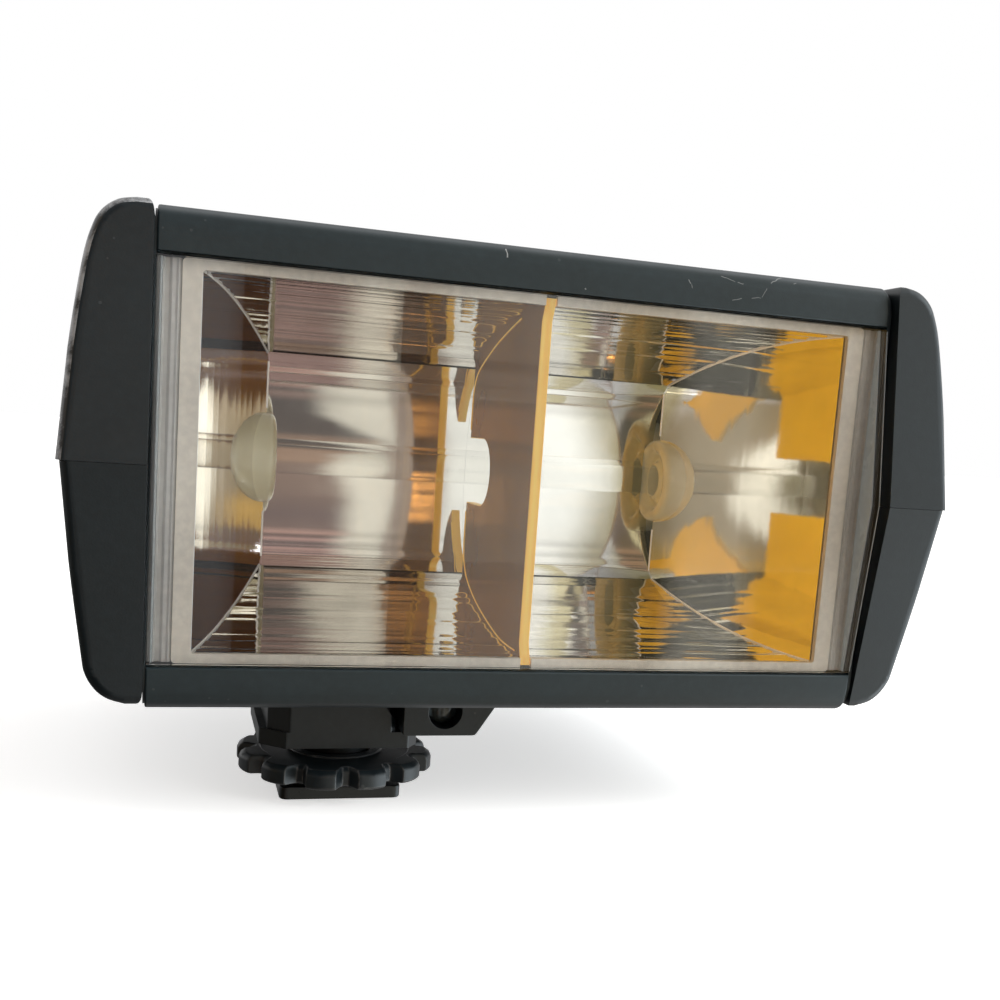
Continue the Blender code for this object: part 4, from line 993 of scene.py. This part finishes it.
put(
    "open_flash_button", lathe("Y", (COLUMN_X, 12.5), eased([(0, 91.0), (2.95, 91.0), (2.95, 90.0), (4.4, 90.0), (4.4, 91.5), (3.35, 91.5), (3.35, 95.6), (2.8, 95.8), (0, 95.35)], 0.3), 56), GLOSSY, "button", "test_button", shade=40,
)
put(
    "mode_knob", lathe("Y", (COLUMN_X, 1.0), eased([(0, 87.0), (2.05, 87.0), (2.05, 94.3), (5.2, 94.3), (5.2, 95.4), (4.7, 95.8), (0, 95.8)], 0.25), 64), GLOSSY, "selector", "mode_selector",
    joins=[prism("Y", rounded([(COLUMN_X - 4.6, 0.2), (COLUMN_X + 4.6, 0.2), (COLUMN_X + 4.6, 1.8), (COLUMN_X - 4.6, 1.8)], 0.75, 5), 95.3, 97.3)],
    bevel=0.12, segments=2, angle=40, edge_wear_and_painted_glow=GLOSSY_EDGE,
)
put("mode_pointer", prism("Y", [(COLUMN_X - 3.9, 0.8), (COLUMN_X - 1.6, 0.8), (COLUMN_X - 1.6, 1.2), (COLUMN_X - 3.9, 1.2)], 97.2, 97.34), LETTER, "selector")
SWITCH_X = COLUMN_X - 1.8
put(
    "slide_switch_knob", box(SWITCH_X - 2.7, SWITCH_X + 2.7, 94.2, 96.3, -13.4, -8.6), GLOSSY, "switch", "power_switch",
    joins=[box(SWITCH_X - 1.3, SWITCH_X + 1.3, 87.5, 94.9, -11.9, -10.1)],
    cuts=[prism("Z", [(SWITCH_X + d - 0.28, 96.5), (SWITCH_X + d, 95.8), (SWITCH_X + d + 0.28, 96.5)], -14, -8) for d in (-1.8, -1.1, -0.4, 0.4, 1.1, 1.8)],
    bevel=0.14, segments=2, angle=40, edge_wear_and_painted_glow=GLOSSY_EDGE,
)
put(
    "flash_cord_socket", lathe("Y", (COLUMN_X, -22.5), eased([(0, 87.6), (5.4, 87.6), (5.4, 91.5), (4.0, 91.5), (4.0, 95.3), (3.1, 95.3), (2.0, 94.9), (2.0, 90.6), (0.7, 90.6), (0.55, 93.6), (0, 93.8)], 0.2), 64),
    STEEL, "root", "sync_socket",
)
ribs = [prism("Y", rounded([(61.0, z - 0.45), (73.0, z - 0.45), (73.0, z + 0.45), (61.0, z + 0.45)], 0.4, 4), 93.5, 94.3) for z in (-6.0, -3.6, -1.2, 1.2, 3.6, 6.0)]
put(
    "battery_cover", box(DOOR_X0, DOOR_X1, PANEL_Y0, PANEL_Y1, -DOOR_HALF, DOOR_HALF), PANEL, "door", "battery_door",
    joins=[prism("Z", [(103.6, 93.3), (107.8, 93.3), (107.8, 94.3), (109.4, 94.3), (110.3, 94.6), (110.75, 95.6), (110.3, 96.6), (109.4, 96.95), (108.2, 96.6), (106.4, 95.2)], -7.7, 7.7), *ribs],
    cuts=[rod("Z", (HINGE_X, HINGE_Y), 0.9, -9, 9, 24)], bevel=0.2, segments=3, edge_wear_and_painted_glow=PANEL_EDGE,
)
for number, (y, z) in enumerate([(y, z) for y in (70.1, 84.4) for z in (-7.45, 7.45)], 1):
    profile = [(0, 58.3), (6.4, 58.3), (7.1, 59.2), (7.1, 106.8), (6.4, 107.5), (2.6, 107.5), (2.6, 108.7), (0, 108.7)]
    if number % 2 == 0:
        profile = [(r, 58.3 + 108.7 - t) for r, t in reversed(profile)]
    put(f"cell_{number}", lathe("X", (y, z), eased(profile, 0.4), 56), CELL, "root", f"battery_cell_{number}")


# ================================================================ plain lettering on the back
def lettering(name, items, look, body, height, slot=None):
    """Short words and numbers as thin raised ink on a face that looks back. items are (text, x, z, size, turn)."""
    objects = []
    for text, x, z, size, turn in items:
        data = bpy.data.curves.new(name, "FONT")
        data.body, data.size, data.extrude = text, size * MM, 0.05 * MM
        data.align_x, data.align_y = "CENTER", "CENTER"
        data.resolution_u = 3
        obj = bpy.data.objects.new(name, data)
        bpy.context.scene.collection.objects.link(obj)
        face = Matrix(((-1, 0, 0, 0), (0, 0, 1, 0), (0, 1, 0, 0), (0, 0, 0, 1)))
        spot = Vector([(a - b) * MM for a, b in zip((x, height, z), ORIGIN)])
        obj.matrix_world = Matrix.Translation(spot) @ face @ Matrix.Rotation(turn, 4, "Z")
        objects.append(obj)
    bpy.context.view_layer.update()
    graph = bpy.context.evaluated_depsgraph_get()
    whole = bmesh.new()
    for obj in objects:
        mesh = bpy.data.meshes.new_from_object(obj.evaluated_get(graph))
        mesh.transform(obj.matrix_world)
        whole.from_mesh(mesh)
        bpy.data.meshes.remove(mesh)
        bpy.data.objects.remove(obj, do_unlink=True)
    bmesh.ops.remove_doubles(whole, verts=whole.verts, dist=1e-7)
    mesh = bpy.data.meshes.new(name)
    whole.to_mesh(mesh)
    whole.free()
    mesh.materials.append(look)
    made = bpy.data.objects.new(name, mesh)
    bpy.context.scene.collection.objects.link(made)
    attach(made, body)
    return made


def round_dial(radius, words, start, step, size):
    items = []
    for k, word in enumerate(words):
        a = math.radians(start - step * k)
        # seen from the back, +X is to the left
        items.append((word, DIAL_X - radius * math.cos(a), DIAL_Z + radius * math.sin(a), size, a - math.pi / 2))
    return items


lettering("scale_numbers", round_dial(19.65, ["1", "1.4", "2", "2.8", "4", "5.6", "8", "11", "16", "22", "32"], 195, 21, 2.3), LETTER, "root", 94.94)
lettering("dial_numbers", round_dial(13.6, ["1", "1.5", "2", "3", "5", "7", "10", "15", "20", "30"], 160, 24, 2.3), LETTER, "dial", 97.64)
lettering("dial_inner_numbers", round_dial(7.6, ["25", "50", "100", "200", "400"], 150, 36, 1.9), YELLOW_INK, "dial", 97.64)
lettering("switch_words", [("ON", COLUMN_X + 3.4, -15.4, 1.9, 0), ("OFF", COLUMN_X - 3.4, -15.4, 1.9, 0)], LETTER, "root", 93.94)

# ================================================================ the CAD pieces that show, or would with a cover open
KEPT = {
    "photocell": NYLON, "circuit_board": BOARD, "main_capacitor": SLEEVE, "step_up_transformer": COPPER, "trigger_coil": COPPER,
    "battery_box": PANEL, "battery_contact_left": STEEL, "battery_contact_right": STEEL, "pivot_bush_left": NYLON, "pivot_bush_right": NYLON,
    "pivot_pin_left": STEEL, "pivot_pin_right": STEEL, "tilt_detent_spring": STEEL, "door_hinge_pin": STEEL, "test_button_spring": STEEL,
}
for node, look in KEPT.items():
    obj = frame["nodes"][node]
    obj.data.materials.clear()
    obj.data.materials.append(look)

# ================================================================ floor, light and camera
floor_look, t, shader, where = new_look("floor", Roughness=0.9, Emission_Color=(1.0, 1.0, 1.0, 1.0), Emission_Strength=0.55)
set_input(t, shader, "Base Color", t.mix(t.noise(where, 3.0, 2.0), (0.93, 0.93, 0.925), (0.95, 0.95, 0.95)))
mesh = bpy.data.meshes.new("floor")
side = 6.0
mesh.from_pydata([(-side, -side, -0.0001), (side, -side, -0.0001), (side, side, -0.0001), (-side, side, -0.0001)], [], [(0, 1, 2, 3)])
mesh.materials.append(floor_look)
floor = bpy.data.objects.new("floor", mesh)
bpy.context.scene.collection.objects.link(floor)
floor.visible_glossy = False
floor.visible_transmission = False
floor.visible_diffuse = False

world = bpy.data.worlds.new("studio")
bpy.context.scene.world = world
world.use_nodes = True
w = Tree(world.node_tree)
for node in list(world.node_tree.nodes):
    world.node_tree.nodes.remove(node)
ray = w.node("ShaderNodeTexCoord").outputs["Generated"]
parts = w.node("ShaderNodeSeparateXYZ", {0: ray})
dx, dy, dz = parts.outputs
flat = w.math("SQRT", w.math("ADD", w.math("ADD", w.math("MULTIPLY", dx, dx), w.math("MULTIPLY", dy, dy)), w.math("MULTIPLY", w.math("MULTIPLY", dz, dz), 0.75)))
sweep = w.math("ARCSINE", w.math("DIVIDE", dx, flat))  # how far to the right of straight ahead, in radians
at = w.math("ADD", w.math("MULTIPLY", sweep, 1 / math.pi), 0.5)


def spot(degrees):
    return degrees / 180.0 + 0.5


def grey(value, warm=0.0):
    return (value, value * (1.0 - 0.12 * warm), value * (1.0 - 0.3 * warm))


height = w.math("ADD", w.math("MULTIPLY", w.math("ARCTAN2", dz, w.math("MULTIPLY", dy, -1.0)), 1 / math.pi), 0.5)  # how far up, likewise


def blend(low, high, value):
    """0 to 1 between the two."""
    return w.node("ShaderNodeMapRange", {"Value": value, "From Min": low, "From Max": high, "To Min": 0.0, "To Max": 1.0}, interpolation_type="SMOOTHSTEP").outputs[0]


cream, bright = (0.98, 0.92, 0.76), (1.04, 1.03, 0.93)
ahead = w.ramp(
    at,
    [
        (spot(-90), (0.085, 0.085, 0.11)), (spot(-70), (0.34, 0.26, 0.15)), (spot(-54), (0.32, 0.24, 0.135)), (spot(-46), (0.13, 0.13, 0.16)), (spot(-28), (0.14, 0.14, 0.165)), (spot(-18.4), (0.13, 0.115, 0.095)),
        (spot(-13.5), (0.16, 0.125, 0.085)), (spot(-9), (0.18, 0.15, 0.12)), (spot(-7), grey(0.8)), (spot(2.0), grey(0.8)), (spot(3.2), (0.40, 0.33, 0.30)),
        (spot(10.3), (0.40, 0.33, 0.30)), (spot(10.6), (0.34, 0.26, 0.20)), (spot(12.6), (0.42, 0.34, 0.28)), (spot(13.0), bright), (spot(16.4), bright), (spot(17.2), (1.28, 1.28, 1.18)), (spot(19.4), (1.26, 1.26, 1.16)),
        (spot(20.6), (0.80, 0.77, 0.64)), (spot(21.4), (0.44, 0.39, 0.26)), (spot(24.3), (0.34, 0.30, 0.18)), (spot(24.8), (1.5, 1.43, 1.2)), (spot(27.7), (1.5, 1.43, 1.2)), (spot(28.4), (0.40, 0.31, 0.19)), (spot(31), (0.38, 0.30, 0.18)),
        (spot(34.5), (0.30, 0.23, 0.14)), (spot(38), (0.7, 0.68, 0.64)), (spot(46), (2.3, 2.5, 2.6)), (spot(90), (2.6, 2.85, 2.95)),
    ],
)
# the left cell's part: rosy grey bands that turn cream to the right, over an edge that wanders with height
rosy = w.ramp(
    height,
    [
        (spot(-90), (0.2, 0.14, 0.12)), (spot(-62), (0.60, 0.37, 0.31)), (spot(-57), (0.12, 0.10, 0.10)), (spot(-52), (0.62, 0.38, 0.32)), (spot(-48.5), (0.14, 0.12, 0.12)), (spot(-46), (0.60, 0.37, 0.30)),
        (spot(-42), (0.56, 0.35, 0.29)), (spot(-39.5), (0.16, 0.14, 0.13)), (spot(-37), (0.36, 0.26, 0.22)), (spot(-33), (0.15, 0.135, 0.125)), (spot(-17), (0.165, 0.145, 0.13)), (spot(-12.5), (0.42, 0.29, 0.21)),
        (spot(-1), (0.42, 0.29, 0.21)), (spot(3), (0.30, 0.22, 0.18)), (spot(12), (0.27, 0.20, 0.165)), (spot(26), (0.20, 0.155, 0.145)), (spot(33), (0.24, 0.18, 0.16)), (spot(36), (0.54, 0.35, 0.29)),
        (spot(37.6), (0.11, 0.095, 0.095)), (spot(39.4), (0.56, 0.36, 0.31)), (spot(41.5), (0.14, 0.12, 0.12)), (spot(44.5), (0.58, 0.37, 0.32)), (spot(47.5), (0.12, 0.10, 0.10)), (spot(51), (0.60, 0.37, 0.32)),
        (spot(55), (0.14, 0.12, 0.11)), (spot(60), (0.56, 0.35, 0.30)), (spot(90), (0.2, 0.15, 0.13)),
    ],
)
creamy = w.ramp(
    height,
    [
        (spot(-90), grey(0.6)), (spot(-56), grey(0.62)), (spot(-52), grey(1.0)), (spot(-47), grey(0.55)), (spot(-44), grey(0.98)), (spot(-39), grey(0.9)), (spot(-36), grey(0.72)), (spot(-31), grey(0.96)), (spot(-18), grey(0.82)),
        (spot(-13), grey(0.66)), (spot(-5), grey(0.82)), (spot(3), grey(0.98)), (spot(33), grey(0.96)), (spot(36), grey(0.72)), (spot(38.5), grey(0.95)), (spot(41.5), grey(0.62)), (spot(45), grey(0.98)), (spot(49), grey(0.55)),
        (spot(53), grey(0.95)), (spot(58), grey(0.6)), (spot(90), grey(0.8)),
    ],
)
edge = w.ramp(
    height,
    [
        (spot(-90), grey(0.70)), (spot(-44), grey(0.72)), (spot(-42.5), grey(0.57)), (spot(-28), grey(0.56)), (spot(-20), grey(0.70)), (spot(-14.5), grey(0.80)), (spot(-9), grey(0.66)), (spot(0), grey(0.66)), (spot(8), grey(0.66)),
        (spot(25), grey(0.67)), (spot(33), grey(0.68)), (spot(41.5), grey(0.66)), (spot(43.5), grey(0.72)), (spot(90), grey(0.72)),
    ],
)
sweep_deg = w.math("MULTIPLY", sweep, 180 / math.pi)
cloud = w.math("MULTIPLY", w.math("SUBTRACT", w.noise(w.stretch(ray, (9.0, 1.0, 5.0)), 1.0, 3.0), 0.5), 1.6)
past = w.math("SUBTRACT", w.math("ADD", sweep_deg, cloud), w.math("MULTIPLY", edge, 12.0))
left_part = w.mix(blend(-0.55, 0.95, past), rosy, w.mix(1.0, creamy, cream, "MULTIPLY"))
inside_left = w.math("MULTIPLY", w.math("GREATER_THAN", sweep_deg, 2.9), w.math("LESS_THAN", sweep_deg, 10.5))
# the other parts: soft bands up and down
tall = w.ramp(
    height,
    [
        (spot(-90), grey(0.8)), (spot(-58), grey(0.9)), (spot(-50), grey(0.72)), (spot(-46), grey(1.0)), (spot(-38), grey(0.8)), (spot(-34), grey(1.0)), (spot(-22), grey(0.95)), (spot(-10), grey(1.0)),
        (spot(20), grey(1.0)), (spot(33), grey(0.95)), (spot(36.5), grey(0.74)), (spot(39), grey(1.0)), (spot(42.5), grey(0.75)), (spot(46), grey(1.0)), (spot(52), grey(0.72)), (spot(58), grey(1.0)), (spot(90), grey(1.1)),
    ],
)
front_light = w.mix(1.0, ahead, tall, "MULTIPLY")
front_light = w.mix(inside_left, front_light, left_part)
# a golden patch low in the band that the left end plate reflects
golden = w.math("MULTIPLY", w.math("MULTIPLY", blend(28.5, 32.0, sweep_deg), w.math("LESS_THAN", sweep_deg, 37.0)), w.math("MULTIPLY", blend(0.5 + 12 / 180, 0.5 + 24 / 180, height), blend(0.5 + 37 / 180, 0.5 + 33 / 180, height)))
front_light = w.mix(golden, front_light, (0.66, 0.42, 0.13))
# small warm lamps on the left, which the divider's glossy face picks up
warm_side = w.math("MULTIPLY", w.math("LESS_THAN", sweep_deg, -10.2), w.math("GREATER_THAN", sweep_deg, -12.5))
spots = w.noise(w.stretch(ray, (26.0, 1.0, 16.0)), 1.0, 3.0)
lamps = w.math("MAXIMUM", w.math("MULTIPLY", blend(0.5 - 41 / 180, 0.5 - 36 / 180, height), blend(0.5 - 17 / 180, 0.5 - 22 / 180, height)), w.math("MULTIPLY", blend(0.5 + 2 / 180, 0.5 + 6 / 180, height), blend(0.5 + 29 / 180, 0.5 + 24 / 180, height)))
front_light = w.mix(w.math("MULTIPLY", w.math("MULTIPLY", warm_side, lamps), blend(0.36, 0.52, spots)), front_light, (4.6, 2.1, 0.55))
# a warm band in front of the divider's left face
warm_band = w.math("MULTIPLY", w.math("MULTIPLY", w.math("LESS_THAN", sweep_deg, -12.5), w.math("GREATER_THAN", sweep_deg, -18.0)), w.math("MULTIPLY", blend(0.5 - 40 / 180, 0.5 - 36 / 180, height), blend(0.5 - 16 / 180, 0.5 - 22 / 180, height)))
front_light = w.mix(w.math("MULTIPLY", warm_band, 0.8), front_light, (1.15, 0.50, 0.22))
behind = w.math("GREATER_THAN", dy, 0.12)
back_light = w.mix(w.between(dz, 0.0, 1.0, -0.25, 0.1), grey(0.5), grey(1.0))
round_light = w.mix(behind, front_light, back_light)
# the light from below is weak on the left and stronger on the right
below = w.between(dz, 1.0, 0.0, -0.35, -0.05)
low_light = w.between(dx, 0.12, 1.5, -0.35, 0.55)
dim = w.math("SUBTRACT", 1.0, w.math("MULTIPLY", below, w.math("SUBTRACT", 1.0, low_light)))
round_light = w.mix(1.0, round_light, w.node("ShaderNodeCombineXYZ", {0: dim, 1: dim, 2: dim}).outputs[0], "MULTIPLY")
seen = w.mix(w.node("ShaderNodeLightPath").outputs["Is Camera Ray"], round_light, (1.0, 1.0, 1.0))
w.node("ShaderNodeOutputWorld", {"Surface": w.node("ShaderNodeBackground", {"Color": seen, "Strength": 1.0}).outputs[0]})


def area(name, spot_at, look_at, size, power, colour=(1, 1, 1)):
    data = bpy.data.lights.new(name, "AREA")
    data.shape, data.size, data.size_y, data.energy, data.color = "RECTANGLE", size[0], size[1], power, colour
    obj = bpy.data.objects.new(name, data)
    bpy.context.scene.collection.objects.link(obj)
    obj.location = spot_at
    obj.rotation_mode = "QUATERNION"
    obj.rotation_quaternion = (Vector(spot_at) - Vector(look_at)).to_track_quat("Z", "Y")
    obj.visible_glossy = False
    obj.visible_camera = False
    return obj


area("key", (0.65, -0.40, 0.55), (0.02, 0.0, 0.05), (0.5, 0.5), 6.0)
area("fill", (-0.5, -0.45, 0.4), (0.02, 0.0, 0.05), (0.4, 0.4), 0.35)

camera_data = bpy.data.cameras.new("camera")
camera = bpy.data.objects.new("camera", camera_data)
bpy.context.scene.collection.objects.link(camera)
camera_data.sensor_width, camera_data.lens, camera_data.shift_y = 36.0, 41.4, 0.0936
camera_data.clip_start, camera_data.clip_end = 0.005, 30.0
yaw, pitch, roll = 0.28073, -0.13601, -0.06946
forward = Vector((math.sin(yaw) * math.cos(pitch), math.cos(yaw) * math.cos(pitch), math.sin(pitch)))
right = Vector((math.cos(yaw), -math.sin(yaw), 0.0))
down = forward.cross(right)
right, down = right * math.cos(roll) + down * math.sin(roll), down * math.cos(roll) - right * math.sin(roll)
turned = Matrix((right, -down, -forward)).transposed().to_4x4()
camera.matrix_world = Matrix.Translation((-0.02588, -0.17397, 0.05681)) @ turned
bpy.context.scene.camera = camera
bpy.context.scene.view_settings.view_transform = "Standard"
